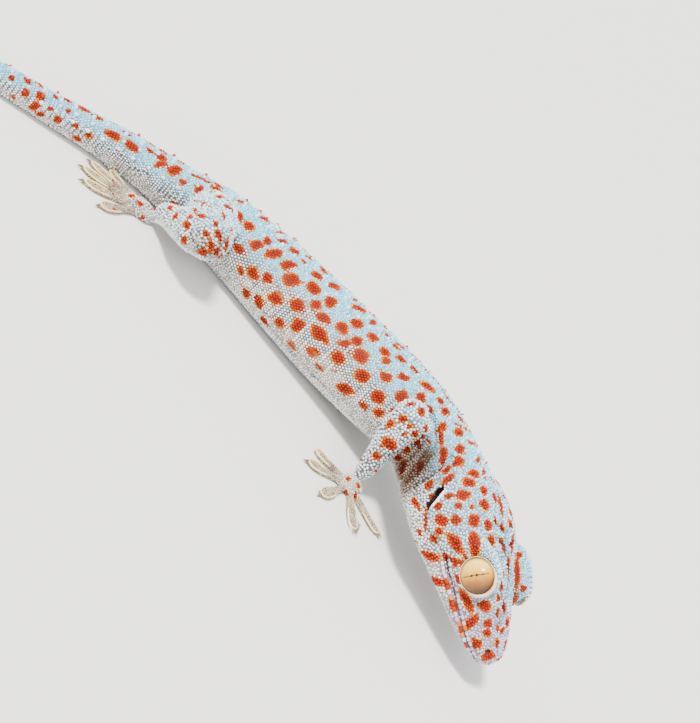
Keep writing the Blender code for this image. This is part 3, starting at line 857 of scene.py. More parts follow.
# Spots that show in the photograph: across and down in its pixels, length and width in pixels, and the
# turn of the length in degrees, clockwise from level.
seenSpots = {
    "head": [
        (449, 496, 9, 5, -10), (463, 495, 14, 9, -15), (438, 506, 8, 7, -30), (458.5, 506, 7, 6, 0),
        (471.5, 507, 4, 4, 0), (484.5, 505, 11, 8.5, 55), (494.5, 498, 11, 4.5, 75),
        (500.5, 505, 19, 5, 80),
        (425.5, 520, 21, 3, 92), (441.5, 520.5, 13, 10, 10), (439, 531.5, 7.5, 7, 0), (456, 520, 9.5, 9, 0),
        (474, 520.5, 12, 10, 60), (488, 525, 10.5, 7.5, 65), (495, 521.5, 12, 3, 75),
        (502.5, 527, 10, 4, 75),
        (510.5, 524, 9.5, 5.5, 60), (419.5, 532.5, 8, 4, 70), (433, 539, 9, 5, 50), (416, 541, 6, 3.5, 60),
        (409, 523, 7, 3.5, 70), (456.5, 544, 17, 9.5, 60), (474.5, 541.5, 20, 10, 80),
        (490.5, 545, 18, 6.5, 88),
        (502, 545, 17, 4.5, 72), (511.5, 545, 19, 4, 95), (430, 556, 18, 8, 15), (445.5, 557, 9, 6, 55),
        (456, 562.5, 9, 6.5, 90), (465, 557, 5, 3, 40), (519, 555, 6, 6, 0), (517, 571.5, 27, 5, 97),
        (523.5, 588.5, 7, 6, 45), (502.5, 574, 6, 4.5, 90), (502, 586, 8, 3.5, 100),
        (436, 581.5, 12, 8, 30),
        (446.5, 584.5, 10, 5, 70), (457, 579, 10, 3.5, 75), (466.5, 600, 24, 8, 65), (485, 606, 14, 9, 25),
        (498, 598, 7, 4.5, 90), (503, 607, 13, 4, 85), (498, 613, 9, 3, 100), (452.8, 605, 13, 6, 65),
        (445.5, 610, 10, 6, 50), (471.5, 622, 18, 8, -45), (488, 623.5, 8.5, 7.5, 0), (487, 633, 8, 7, 0),
        (507, 623, 9, 4, 120), (502, 630, 8, 4, 110), (498, 628, 7, 3, 90), (476.5, 643.5, 10.5, 8.5, 60),
        (497, 643, 8.5, 4.5, 90), (488.5, 657.5, 13, 8, -10), (454, 633.5, 8, 5, 55),
        (460.3, 630, 11, 3, 75),
        (465.5, 645.5, 7, 2.5, 70), (514.5, 600, 12, 4, 105), (507.5, 568, 20, 3, 95),
        (430.5, 496.5, 7, 3, -45),
    ],
    "neck": [
        (428, 387, 17, 8.5, 28), (402, 397, 13, 12, 0), (421, 397.5, 9.5, 9, 0), (440, 385, 13, 4, 50),
        (445, 395, 19, 3, 60), (440.5, 401, 8.5, 7, 50), (445.5, 411.5, 9.5, 8, 0), (442.5, 427, 9, 7, 90),
        (441, 438, 13.5, 5, 95), (443.5, 453, 10, 7, 110), (442.5, 459, 9, 5, 130),
        (460, 418.5, 10, 6.5, 50),
        (459, 432, 10.5, 10, 0), (460, 449, 10.5, 10, 0), (458.5, 461.5, 10, 9.5, 0),
        (471.5, 443.5, 11, 5.5, 35),
        (478, 460, 8.5, 7.5, 0), (483, 470.5, 8.5, 7, 50), (446.5, 469, 9, 6.5, -35),
        (448, 479, 14.5, 6.5, -35),
        (474, 473.5, 12, 8, 15), (469, 482.5, 13, 8, 15), (483.5, 490.5, 9, 7.5, 60),
        (428.8, 484.5, 11, 6, -50),
        (415, 502, 9, 5.5, 80), (418.5, 507.5, 8, 3.5, 70), (491, 471, 7, 4, 65), (492, 480, 7, 3, 60),
        (452, 404, 7, 4, 45), (466, 430, 6, 4, 40), (480, 446, 6, 3.5, 50),
    ],
    "trunk": [
        (241, 202, 9, 6, 20), (239, 216, 10, 8, 70), (249, 226, 11, 9, 30), (264, 219, 13, 7, 25),
        (256.5, 245, 13, 10, -10), (267.5, 241, 8.5, 7.5, 0), (274, 253.5, 19, 9, -8),
        (282, 233, 19, 5.5, 5),
        (282.5, 241, 9.5, 6.5, 20), (295, 251.5, 10, 8, 25), (288, 265, 17, 9, -12), (239, 249, 11, 8, 60),
        (253, 273.5, 13, 11, 60), (267.5, 278, 10.5, 10.5, 0), (291.5, 279.5, 17, 14, 0),
        (313.5, 288, 14.5, 12, 35), (317.5, 275.5, 12, 9, 30), (334, 286.5, 13.5, 10, 20),
        (304.5, 262, 8, 5, 50),
        (311.5, 254.5, 8, 5, 50), (297.5, 240.5, 7, 4, 45), (329.5, 274, 10.5, 5, 50),
        (275.5, 298, 14.5, 13.5, 0),
        (259, 302.5, 12.5, 8.5, 80), (241, 271, 10, 6, 75), (246, 293.5, 11, 7, 70),
        (297, 305, 15, 12, -15),
        (316, 305, 11, 10, 0), (331, 301.5, 12.5, 11.5, 20), (323.5, 318, 14.5, 10, 25),
        (319.5, 334, 21, 12, 52),
        (342, 328, 13, 12, 30), (357, 323.5, 13.5, 10, 25), (373, 322.5, 9.5, 9.5, 0),
        (373, 337, 12, 9, 30),
        (359.5, 309, 18, 9, 25), (354.5, 292.5, 8, 5.5, 45), (354, 300, 7, 6, 0),
        (279.5, 323.5, 12.5, 8.5, 75),
        (265, 320, 11, 6.5, 45), (297.5, 325.5, 15, 11.5, -20), (292, 345, 11, 6, 50),
        (313, 352, 13, 10, 20),
        (338, 358, 13, 12, 20), (345, 343.5, 14, 6.5, 0), (357, 341, 11, 9, 20), (361, 356, 16, 13.5, 20),
        (385, 352, 11, 8, 30), (386, 361.5, 9, 7, 0), (401, 359, 11, 7, 45), (319, 367, 11, 6, 40),
        (362, 376, 15, 13, 10), (386, 377, 12, 10, 20), (404, 377, 11, 8, 30), (415, 370, 12, 5, 50),
        (345, 389, 19, 9, 20), (378, 397, 14, 12, 10), (428, 386, 10, 6, 40), (363, 405.5, 9, 6, 20),
        (379, 413, 11, 8, 0), (388, 337, 11, 6, 45),
        (396, 347, 8, 5, 45), (338, 268, 9, 4, 48), (273, 216, 12, 4, 40), (290, 228, 9, 4, 42),
        (322, 260, 9, 4, 48), (365, 298, 9, 4, 48), (382, 318, 10, 4, 45), (405, 340, 9, 4, 48),
        (421, 360, 10, 4, 50), (334.5, 370.5, 4.5, 4, 0),
    ],
    "tail": [
        (67, 100, 10, 5, 25), (84, 109, 13, 7, 25), (97, 117, 12, 7, 30), (91, 104, 8, 4, 20),
        (113, 135, 15, 8, 25), (110, 120, 9, 4, 35), (132, 146, 16, 8, 35), (127, 134, 9, 4, 35),
        (161, 157, 12, 6, 25), (161, 164, 12, 6, -25), (150, 151, 9, 4, 35), (175, 170, 14, 10, -20),
        (178, 160, 10, 4, 30), (183, 182, 9, 6, 10), (199, 189, 9, 8, 0), (197, 177, 14, 4, 20),
        (216, 189, 11, 6, 25), (219, 197, 8, 7, 0), (232, 190, 14, 4, 15), (208, 182, 9, 4, 15),
        (240, 196, 12, 4, 15), (227, 207, 7, 6, 20),
    ],
    "limb": [
        (421.5, 411.5, 8, 7.5, 0), (430.5, 408.5, 9, 4, 70), (403, 419, 9, 8, 0), (409.5, 426.5, 6, 5.5, 0),
        (415, 434, 6.5, 6.5, 0), (416.5, 442.5, 8, 5, 95), (406.5, 449.5, 8, 7, 0),
        (397.5, 457.5, 7, 5.5, 0),
        (390, 424, 9, 7, -45), (389, 444, 15, 11, 35), (426, 428, 8, 5, 90), (420, 465, 9, 5, 120),
        (376, 456, 9, 7, 60), (376, 471, 9, 5, 85), (404, 434, 5, 4, 0), (428, 441, 7, 4, 80),
        (394, 411, 7, 5, -30), (411, 404, 8, 4, -10), (175.5, 216.5, 8, 7, -40), (187, 225, 8.5, 8, 0),
        (184.5, 240, 8, 7, 20), (195, 209.5, 10, 5, 30), (201, 215.5, 10, 4, 15), (190, 217, 5, 5, 60),
        (202.5, 253, 9, 6, -10), (215.5, 224, 7.5, 5, 60), (206, 234, 7, 6, 60),
        (219.5, 235.5, 12, 5.5, 70),
        (211, 246, 10, 6.5, 100), (223.5, 215.5, 14, 4.5, 72), (226, 244, 14, 5, 100),
        (230, 209, 8, 4.5, 60),
        (209, 207, 6, 3, 10), (216.5, 252, 8, 6, 130), (170.5, 208, 9, 5, 95),
    ],
}


markings = {
    "creamEdge": 1.22,  # how far the pale edge of a spot reaches, as a share of the spot
    "raggedness": 0.09,
    "flankGap": 3.1,  # distance between spots where the photograph doesn't show them
    "limbGap": 2.7,
    "places": 9000,  # places on the skin that are tried for such spots
    "seed": 7,
}


def seenSpotShape(across, down, long, wide, turn):
    # a spot's middle on the skin, the skin's direction there and the spot's two half axes
    place, _, face, _ = sightHit(skinTree, across, down)
    if place is None:
        return None
    normal = Vector(faceNormals[face])
    facing = max(cameraBack.dot(normal), 0.25)
    turn = math.radians(turn)
    shape = []
    for half, angle in ((long / 2, turn), (wide / 2, turn + math.pi / 2)):
        flat = cameraRight * math.cos(angle) - cameraUp * math.sin(angle)
        lean = flat - cameraBack * (flat.dot(normal) / facing)
        size = min(lean.length, 1.45)
        shape.append(lean.normalized() * size * half / view["pixelsPerMm"] * mm)
    return place, normal, shape[0], shape[1]


def mirroredSpot(spot, draw):
    place, _, first, second = spot
    rows = mirrored(np.array([place, place + first, place + second]))
    middle, facing = ontoSkin(rows[:1])
    middle, facing = Vector(middle[0]), Vector(facing[0])
    grow = draw.uniform(0.85, 1.1)
    return middle, facing, Vector(rows[1] - rows[0]) * grow, Vector(rows[2] - rows[0]) * grow


def drawnSpot(place, normal, draw, low, high):
    turn = draw.uniform(0, math.pi)
    side = normal.orthogonal().normalized()
    first = side * math.cos(turn) + normal.cross(side) * math.sin(turn)
    half = draw.uniform(low, high) * mm
    return place, normal, first * half * draw.uniform(1.0, 1.5), normal.cross(first) * half


def allSpots(samples, sampleNormals, sampleKinds):
    draw = random.Random(markings["seed"])
    seen = []
    for group in seenSpots.values():
        seen += [shape for row in group if (shape := seenSpotShape(*row))]
    spots = list(seen)
    taken = [(np.array(s[0]), max(s[2].length, s[3].length)) for s in seen]

    def free(place, reach):
        places = np.array([row[0] for row in taken])
        sizes = np.array([row[1] for row in taken])
        return np.all(np.linalg.norm(places - np.array(place), axis=1) > sizes + reach)

    for group in ("head", "neck", "trunk", "tail"):
        for row in seenSpots[group]:
            shape = seenSpotShape(*row)
            if shape is None:
                continue
            other = mirroredSpot(shape, draw)
            reach = max(other[2].length, other[3].length)
            if free(other[0], reach * 0.9):
                spots.append(other)
                taken.append((np.array(other[0]), reach))
    # the rest of the tail, the far legs and what the camera doesn't see
    unseen = []
    rows = toHead(samples)
    nearEar = besideEar(rows) & (np.hypot(*earShares(rows)) < 4)
    for i in range(len(samples)):
        place, normal = Vector(samples[i]), Vector(sampleNormals[i])
        toCamera = cameraPlace - place
        blocked = skinTree.ray_cast(place + normal * 0.4 * mm, toCamera)[0] is not None
        paw = kinds[sampleKinds[i]] in ("paw", "toe")
        if normal.dot(toCamera.normalized()) < 0.12 or blocked or place.x < -0.05 or paw:
            unseen.append(i)
    draw.shuffle(unseen)
    for i in unseen:
        kind = kinds[sampleKinds[i]]
        place, normal = Vector(samples[i]), Vector(sampleNormals[i])
        if normal.z < (0.75 if kind == "toe" else -0.35) or nearEar[i]:
            continue
        gap = markings["limbGap"] if kind in ("limb", "paw") else markings["flankGap"]
        low, high = (0.45, 0.75) if kind in ("limb", "paw") else (0.75, 1.2)
        if kind == "toe":
            if place.x > 0:
                continue
            low, high, gap = 0.28, 0.4, 2.8
        if place.x < -0.05:
            low, high, gap = 0.5, 0.9, 2.6
        if free(place, gap * mm * 0.5):
            spots.append(drawnSpot(place, normal, draw, low, high))
            taken.append((np.array(place), high * mm))
    return spots


def spotField(points, normals, spots):
    # 1 in the middle of a spot, about 0.3 at its edge, 0 outside its pale rim
    near = pointTree(points)
    field = np.full(len(points), 9.0)
    draw = np.random.default_rng(markings["seed"])
    for place, normal, first, second in spots:
        reach = max(first.length, second.length) * 1.6
        waves = draw.uniform(-1, 1, 6) * markings["raggedness"]
        found = [row[1] for row in near.find_range(place, reach)]
        if not found:
            continue
        found = np.array(found)
        solve = np.linalg.pinv(np.array([first, second]).T)
        shares = (points[found] - np.array(place)) @ solve.T
        distance = np.linalg.norm(shares, axis=1)
        turn = np.arctan2(shares[:, 1], shares[:, 0])
        for k in range(3):
            distance *= 1 + waves[k] * np.sin((k + 2) * turn + 3 * waves[k + 3] / markings["raggedness"])
        distance[normals[found] @ np.array(normal) < 0.15] = 9.0
        field[found] = np.minimum(field[found], distance)
    return np.clip((markings["creamEdge"] - field) / 0.85, 0, 1)


# Scales
coat = {
    "relaxing": 7,
    "perPiece": 8800,
    "candidates": 210000,
    "seed": 19,
    "gaps": {"limb": 0.64, "paw": 0.5, "toe": 0.4},
    "headGap": 0.6,
    "height": 0.46,  # of a scale, as a share of the distance to the next
    "width": 0.47,
    "patchHalf": 0.0015,  # half of a scale's patch on the unwrap of the skin
    "crowding": 0.41,  # how near two scales may start, as a share of their distances added
    "plumper": 1.06,  # on the head and the limbs, where the scales nearly touch
}
net = {
    # the staggered rows of the body, in mm from one scale to the next round it
    "gaps": (0.42, 0.55, 0.64),
    "pitch": 0.86,
    "stretch": (1.5, 1.2, 1.0, 1.0, 1.08),  # from the belly to the middle of the back
    "band": (-0.28, 0.5),  # rows lie between these heights on the trunk, as the sine of the angle round it
    "drift": (0.12, 0.3),  # how far the spacing may stray before a row more is taken in, tail and trunk
}
beadProfile = [(1.0, -0.5), (0.84, 0.5), (0.0, 1.0)]  # width and height shares, from the root to the tip
coneProfile = [(1.0, -0.4), (0.86, 0.2), (0.5, 0.68), (0.2, 0.92), (0.0, 1.0)]
plateProfile = [(1.0, -0.6), (0.94, 0.55), (0.72, 1.0), (0.0, 1.08)]


def skinSamples(number, seed):
    # even random places on the skin, with its direction at each
    draw = np.random.default_rng(seed)
    builder = bmesh.new()
    builder.from_mesh(skinPiece.data)
    triangles = np.array([[loop.vert.index for loop in t] for t in builder.calc_loop_triangles()])
    builder.free()
    a, b, c = (skinCorners[triangles[:, k]] for k in range(3))
    areas = np.linalg.norm(np.cross(b - a, c - a), axis=1) / 2
    pick = draw.choice(len(areas), number, p=areas / areas.sum())
    u, v = draw.random(number), draw.random(number)
    flip = u + v > 1
    u[flip], v[flip] = 1 - u[flip], 1 - v[flip]
    points = a[pick] + (b - a)[pick] * u[:, None] + (c - a)[pick] * v[:, None]
    normals = unit(skinNormals[triangles[pick]].sum(1))
    return points, normals


def scaleGaps(points, kindNumbers):
    # distance from scale to scale, in mm: finest on the flanks and round the eyes, broad under the belly
    along, angle = alongAndAngle(points)
    gaps = np.interp(np.sin(angle), [-1, -0.6, -0.3, 0.5, 1], [0.74, 0.66, 0.57, 0.57, 0.64])
    gaps *= np.interp(along / tailReach, [0, 0.35, 1.0], [0.65, 0.86, 1.0])
    rows = toHead(points)
    headGap = coat["headGap"] * np.interp(rows[:, 0], [24, 34], [1, 0.82])
    for side in (1, -1):
        spot = np.array(eye["place"]) * (1, side, 1)
        away = np.linalg.norm(rows - spot, axis=1)
        headGap *= np.interp(away, [4.6, 7.5], [0.74, 1])
    gaps = np.where(ofKind(kindNumbers, "head"), headGap, gaps)
    for kind, gap in coat["gaps"].items():
        gaps = np.where(ofKind(kindNumbers, kind), gap, gaps)
    gaps *= np.where(ofKind(kindNumbers, "limb"), np.interp(points[:, 2] / mm, [4, 12], [0.94, 1.1]), 1)
    return gaps * mm * 1


def bodyRows():
    # staggered rows of places round the tail, the trunk and the neck, and those where a row gains some
    steady, loose = [], []
    at, turn, count, sinceChange = 1.5 * mm, 0.0, 1, 0
    angle = np.linspace(-math.pi / 2, 1.5 * math.pi, 241)
    power = 2 / body["roundness"]
    c, s = np.cos(angle), np.sin(angle)
    stretch = np.interp(s, [-1, -0.8, -0.5, 0.4, 1], net["stretch"])
    while at < earReach - 1 * mm:
        i = int(np.searchsorted(track["at"], at))
        width, top, depth = track["size"][i]
        out = np.sign(c) * np.abs(c) ** power * width
        rise = np.sign(s) * np.abs(s) ** power * np.where(s > 0, top, depth)
        section = track["place"][i] + np.outer(out, track["left"][i]) + np.outer(rise, track["up"][i])
        steps = np.linalg.norm(np.diff(section, axis=0), axis=1) * 2 / (stretch[1:] + stretch[:-1])
        walk = np.concatenate([[0], np.cumsum(steps)])
        gap = float(np.interp(at / tailReach, [0, 0.35, 1.0], net["gaps"])) * mm
        gap *= 1
        wanted = walk[-1] / gap
        sinceChange += 1
        if abs(wanted / count - 1) > net["drift"][int(at > tailReach)]:
            count = max(4, round(wanted * (1.1 if at < tailReach else 1.0)))
            sinceChange = 0
        places = (np.arange(count) + turn) / count * walk[-1]
        row = np.stack([np.interp(places, walk, section[:, k]) for k in range(3)], axis=1)
        (steady if sinceChange > 2 else loose).append(row)
        turn = 0.5 - turn
        at += net["pitch"] * walk[-1] / count
    return np.concatenate(steady), np.concatenate(loose)


def thinned(points, gaps, taken, takenGaps):
    # candidates in their given order, each kept if it stands clear of all that are kept before it
    cell = 1.0 * mm
    grid = {}
    beside = [(dx, dy, dz) for dx in (-1, 0, 1) for dy in (-1, 0, 1) for dz in (-1, 0, 1)]

    def cellOf(p):
        return int(p[0] // cell), int(p[1] // cell), int(p[2] // cell)

    def standsClear(x, y, z, gap, others):
        for qx, qy, qz, other in others:
            least = (gap + other) * coat["crowding"]
            if (x - qx) ** 2 + (y - qy) ** 2 + (z - qz) ** 2 < least * least:
                return False
        return True

    for p, gap in zip(taken.tolist(), takenGaps.tolist()):
        grid.setdefault(cellOf(p), []).append((*p, gap))
    kept = []
    for number, (p, gap) in enumerate(zip(points.tolist(), gaps.tolist())):
        cx, cy, cz = cellOf(p)
        cells = (grid.get((cx + dx, cy + dy, cz + dz), ()) for dx, dy, dz in beside)
        if all(standsClear(*p, gap, others) for others in cells):
            grid.setdefault((cx, cy, cz), []).append((*p, gap))
            kept.append(number)
    return np.array(kept)


def relaxed(points, gaps, pinned):
    # neighbours push each other apart along the skin until the scales are evenly packed
    for _ in range(coat["relaxing"]):
        near = pointTree(points)
        around = np.array([[row[1] for row in near.find_n(p, 8)][1:] for p in points])
        away = points[:, None, :] - points[around]
        distance = np.maximum(np.linalg.norm(away, axis=2), 1e-7)
        wanted = (gaps[:, None] + gaps[around]) / 2 * 1.04
        push = np.maximum(wanted - distance, 0) * 0.36
        move = (away / distance[..., None] * push[..., None]).sum(1)
        length = np.linalg.norm(move, axis=1, keepdims=True)
        move *= np.minimum(1, 0.3 * gaps[:, None] / np.maximum(length, 1e-9))
        move[:pinned] = 0
        points, normals = ontoSkin(points + move)
    return points, normals


def alongSkin(normals, points):
    # the lie of the scales, towards the tail
    number, _ = toBody(points)
    lie = -track["forward"][number]
    lie = lie - normals * np.einsum("ij,ij->i", lie, normals)[:, None]
    return unit(lie)


def scaleMesh(name, roots, normals, lies, sizes, profile, sides, uvRoots, squareness=2.0):
    # closed small forms, all of one profile; sizes are half length, half width and height
    angle = np.arange(sides) * 2 * math.pi / sides
    power = 2 / squareness
    x = np.sign(np.cos(angle)) * np.abs(np.cos(angle)) ** power
    y = np.sign(np.sin(angle)) * np.abs(np.sin(angle)) ** power
    template = [(x * wide, y * wide, np.full(sides, high)) for wide, high in profile[:-1]]
    flat = np.concatenate([np.stack(row, axis=1) for row in template] + [[[0, 0, profile[-1][1]]]])
    across = np.cross(normals, lies)
    corners = (
        roots[:, None, :]
        + lies[:, None, :] * flat[None, :, 0:1] * sizes[:, None, 0:1]
        + across[:, None, :] * flat[None, :, 1:2] * sizes[:, None, 1:2]
        + normals[:, None, :] * flat[None, :, 2:3] * sizes[:, None, 2:3]
    )
    corners = np.clip(corners, np.array(cadBox[0]) + (0, 0, 0.00001), cadBox[1])
    rings, perScale = len(profile) - 1, len(flat)
    around = np.arange(sides)
    following = (around + 1) % sides
    quads = []
    for ring in range(rings - 1):
        low, high = ring * sides, (ring + 1) * sides
        quads.append(np.stack([low + around, low + following, high + following, high + around], 1))
    last = (rings - 1) * sides
    tips = np.stack([last + around, last + following, np.full(sides, perScale - 1)], 1)
    base = around[::-1][None, :]
    offsets = (np.arange(len(roots)) * perScale)[:, None, None]
    rows = [(np.concatenate(quads)[None] + offsets).reshape(-1, 4)] if quads else []
    rows += [(tips[None] + offsets).reshape(-1, 3), (base[None] + offsets).reshape(-1, sides)]
    piece = meshObject(name, corners.reshape(-1, 3), rows)
    patches = (uvRoots[:, None, :] + flat[None, :, :2] * coat["patchHalf"]).reshape(-1, 2)
    numbers = readRows(piece.data.loops, "vertex_index", 1, np.int32)[:, 0]
    uv = piece.data.uv_layers.new(name="OFBake")
    uv.data.foreach_set("uv", patches[numbers].astype(np.float32).ravel())
    return piece, perScale


def limbPlace(points):
    # which limb is nearest, how far along it as a share, and the angle round it
    best = np.full(len(points), 9.0)
    which, share, turn = (np.zeros(len(points)) for _ in range(3))
    for number, joints in enumerate(limbs.values()):
        joints = np.array(joints) * mm
        lengths = np.linalg.norm(np.diff(joints, axis=0), axis=1)
        walked = 0.0
        for start, end, length in zip(joints, joints[1:], lengths):
            axis = (end - start) / length
            t = np.clip((points - start) @ axis, 0, length)
            away = points - start - t[:, None] * axis
            distance = np.linalg.norm(away, axis=1)
            side = np.cross(axis, [0, 0, 1])
            side /= np.linalg.norm(side)
            angle = np.arctan2(away @ np.cross(side, axis), away @ side)
            nearer = distance < best
            best[nearer] = distance[nearer]
            which[nearer] = number
            share[nearer] = (walked + t[nearer]) / lengths.sum()
            turn[nearer] = angle[nearer]
            walked += length
    return which, share, turn


def unwrapped(points, normals, group):
    # a place for each root on an unwrap of the skin's own shape, in the unit square
    if group == "limb":
        which, share, turn = limbPlace(points)
        u = 0.02 + 0.96 * share
        v = (which + 0.03 + 0.94 * (turn + math.pi) / (2 * math.pi)) / 4
    elif group in ("paw", "toe"):
        which, _, _ = limbPlace(points)
        feet = np.array([joints[-1][:2] for joints in limbs.values()])[which.astype(int)]
        flat = points[:, :2] / mm - feet
        u = (which + 0.5 + flat[:, 0] / 46) / 4
        v = (0.5 + (normals[:, 2] < 0) + flat[:, 1] / 46) / 2
    else:
        along, angle = alongAndAngle(points)
        low, high = along.min(), along.max()
        u = 0.02 + 0.96 * (along - low) / (high - low)
        v = 0.02 + 0.96 * (angle + math.pi) / (2 * math.pi)
    return np.clip(np.stack([u, v], axis=1), 0.004, 0.996)


tubercles = {
    # rows by degrees from the middle of the back, with the distance from one to the next
    "trunkRows": (6, 20, 36),
    "trunkStep": 3.4,
    "napeStep": 2.8,
    "browSpines": 11,
    "tailRows": (12, 38, 66),
    "tailStep": 4.6,
    "radius": 0.66,
    "height": 0.98,
    "seed": 5,
}
lips = {
    "step": 1.02,
    "upper": (0.49, 0.4),  # half length and half height of a lip scale
    "lower": (0.49, 0.38),
    "thick": 0.1,
    "apart": 0.14,  # from the mouth's line to a scale's edge
}


digits = [name for name in fleshNodes if name.startswith(("finger", "toe"))]
brownAndShadePatches = [
    # brownish skin, partly its own colour and partly painted shade of the armpit and the folds of the neck
    # and knee: places in the photograph's pixels, reach in mm and strength
    ((420, 449), 3.0, 0.8),
    ((425, 456), 3.2, 1.0),
    ((412, 458), 3.0, 0.9),
    ((404, 467), 3.6, 1.0),
    ((418, 468), 4.0, 1.0),
    ((408, 480), 3.6, 1.0),
    ((198, 243), 3.2, 0.35),
    ((214, 254), 3.0, 0.35),
    ((224, 240), 2.4, 0.3),
]


def bodyHit(along, fromBack):
    # place on the skin at a distance along the body and an angle from the middle of the back
    i = int(np.clip(np.searchsorted(track["at"], along), 0, len(track["at"]) - 1))
    turn = math.radians(90 - fromBack)
    way = track["left"][i] * math.cos(turn) + track["up"][i] * math.sin(turn)
    place, _, face, _ = skinTree.ray_cast(Vector(track["place"][i]), Vector(way))
    return None if place is None else (np.array(place), faceNormals[face])


def tubercleRoots():
    # places, directions and sizes of the pointed scales of the back, the nape and the tail
    draw = random.Random(tubercles["seed"])
    found = []
    spans = [
        (9 * mm, tailReach - 3 * mm, tubercles["tailRows"], tubercles["tailStep"], 0.9),
        (tailReach - 1 * mm, neckReach - 4 * mm, tubercles["trunkRows"], tubercles["trunkStep"], 0.74),
        (neckReach - 3 * mm, earReach - 0.5 * mm, (6, 19, 33), tubercles["napeStep"], 0.72),
    ]
    for start, end, angles, step, share in spans:
        for row, fromBack in enumerate(angles):
            for side in (1, -1):
                at = start + (row % 2) * step * mm * (0.5 if step < 4.5 else 0)
                while at < end:
                    along = at + draw.uniform(-0.3, 0.3) * mm
                    hit = bodyHit(along, side * (fromBack + draw.uniform(-1.5, 1.5)))
                    at += step * mm * (np.interp(along / tailReach, [0, 1], [0.6, 1.0]))
                    if hit is None or not ofKind(kindsAt(hit[0][None]), "body", "head")[0]:
                        continue
                    size = share * draw.uniform(0.82, 1.12)
                    size *= np.interp(along / tailReach, [0, 0.4, 1], [0.42, 0.75, 1.0])
                    tall = np.interp(along / tailReach, [0, 1, 1.2, 2.0], [1.2, 1.15, 0.8, 0.8])
                    tall = 1.25 if along > neckReach else tall
                    found.append((*hit, size, tall))
    # small points along the upper edge of each eye
    for side in (1, -1):
        middle, (snout, across, aim) = browPlace(side)
        upward = 1 if across.dot(Vector(headTurn[2])) > 0 else -1
        for k in range(tubercles["browSpines"]):
            turn = math.radians(20 + 150 * k / (tubercles["browSpines"] - 1))
            way = (snout * math.cos(turn) + across * upward * math.sin(turn) + aim * 0.35).normalized()
            place, _, face, _ = skinTree.ray_cast(middle + way * 9 * mm, -way)
            if place is not None:
                facing = unit(faceNormals[face] + np.array(way))
                found.append((np.array(place), facing, draw.uniform(0.5, 0.62), 1.5))
    roots = np.array([row[0] for row in found])
    normals = np.array([row[1] for row in found])
    width = np.array([row[2] for row in found]) * tubercles["radius"] * mm
    height = width / tubercles["radius"] * tubercles["height"] * np.array([row[3] for row in found])
    return roots, normals, np.stack([width * 1.12, width, height], axis=1)


def lipRoots():
    # flat scales in a row above and below the mouth's line on each side, from near the snout's tip back to
    # the mouth's corner
    rows = []
    for side in (1, -1):
        for half, way in ((lips["upper"], 1), (lips["lower"], -1)):
            ahead = 34.6
            while ahead > head["mouthCorner"] + 0.8:
                grow = np.interp(ahead, [16, 24, 35], [0.8, 1.05, 0.95])
                above = mouthLine(ahead) + way * (lips["apart"] + half[1] * grow)
                out = side * (headWidth(ahead) + 1.0)
                rows.append((ahead, out, above, half[0] * grow, half[1] * grow, side))
                ahead -= lips["step"] * grow
    rows = np.array(rows)
    roots, normals = ontoSkin(fromHead(rows[:, :3]))
    lie = unit(np.array([[1, 0, -head["mouthRise"]]]) @ headTurn).repeat(len(rows), 0)
    lie = unit(lie - normals * np.einsum("ij,ij->i", lie, normals)[:, None])
    sizes = np.stack([rows[:, 3], rows[:, 4], np.full(len(rows), lips["thick"])], axis=1) * mm
    return roots, normals, lie, sizes


def bareOfScales(points, normals, lipPlates):
    # openings, lids, the mouth's line, lip scales and the soles keep clear of the small scales
    rows = toHead(points)
    across, along = earShares(rows)
    wide, long = head["earHalf"]
    bare = besideEar(rows) & (np.hypot(across / (wide + 0.3), along / (long + 0.1)) < 1)
    rise = rows[:, 2] - mouthLine(rows[:, 0])
    front = (rows[:, 0] > head["mouthCorner"]) & (rows[:, 0] < head["length"] + 2)
    bare |= front & onJaws(rows) & (np.abs(rise) < 0.2)
    for side in (1, -1):
        bare |= nostrilDistance(rows, side) < 0.7
        middle, aim, _, _ = eyePose(side)
        outward = (points - np.array(middle)) @ np.array(aim) > 0.2 * mm
        bare |= (eyeRing(points, side) < eye["opening"] + 0.3) & outward
    bare |= (points[:, 2] < 0.4 * mm) & (normals[:, 2] < -0.5)
    onToes = ofKind(kindsAt(points), "toe")
    for name in digits:
        root, way, side, length = toeFrame(name)
        gap = points[:, :2] - root
        reach = gap @ way / length
        bare |= onToes & (reach > 0.97) & (reach < 1.4) & (np.abs(gap @ side) < 1.5 * mm)
    roots, _, lie, sizes = lipPlates
    near = pointTree(roots)
    for i in np.nonzero(front)[0]:
        _, k, distance = near.find(points[i])
        if distance < 1.2 * mm:
            gap = points[i] - roots[k]
            reach = abs(gap @ lie[k]) / (sizes[k][0] + 0.22 * mm)
            side = math.sqrt(max(gap @ gap - (gap @ lie[k]) ** 2, 0)) / (sizes[k][1] + 0.22 * mm)
            bare[i] |= max(reach, side) < 1
    return bare


def colourShares(points, normals, kindNumbers):
    # shares of the blue of the back, the tan of the toes and the pink of the lips, throat and snout
    _, angle = alongAndAngle(points)
    rows = toHead(points)
    back = step01(np.sin(angle), -0.35, 0.95)
    inHead = ofKind(kindNumbers, "head")
    back = np.where(ofKind(kindNumbers, "limb"), 0.32 + 0.3 * normals[:, 2], back)
    back = np.where(inHead, back * 0.76, back)
    tan = np.select([ofKind(kindNumbers, "toe"), ofKind(kindNumbers, "paw")], [1.0, 0.22], 0.0)
    rise = np.abs(rows[:, 2] - mouthLine(rows[:, 0]))
    lip = 0.8 * step01(-rise, -2.2, -0.5) * step01(rows[:, 0], 12, 20)
    throat = 0.15 * step01(-rows[:, 2], 0.5, 3)
    snout = 0.12 + 0.55 * step01(rows[:, 0], 20, 31)
    lip = inHead * np.maximum(lip, np.maximum(throat, snout))
    return back, tan, lip


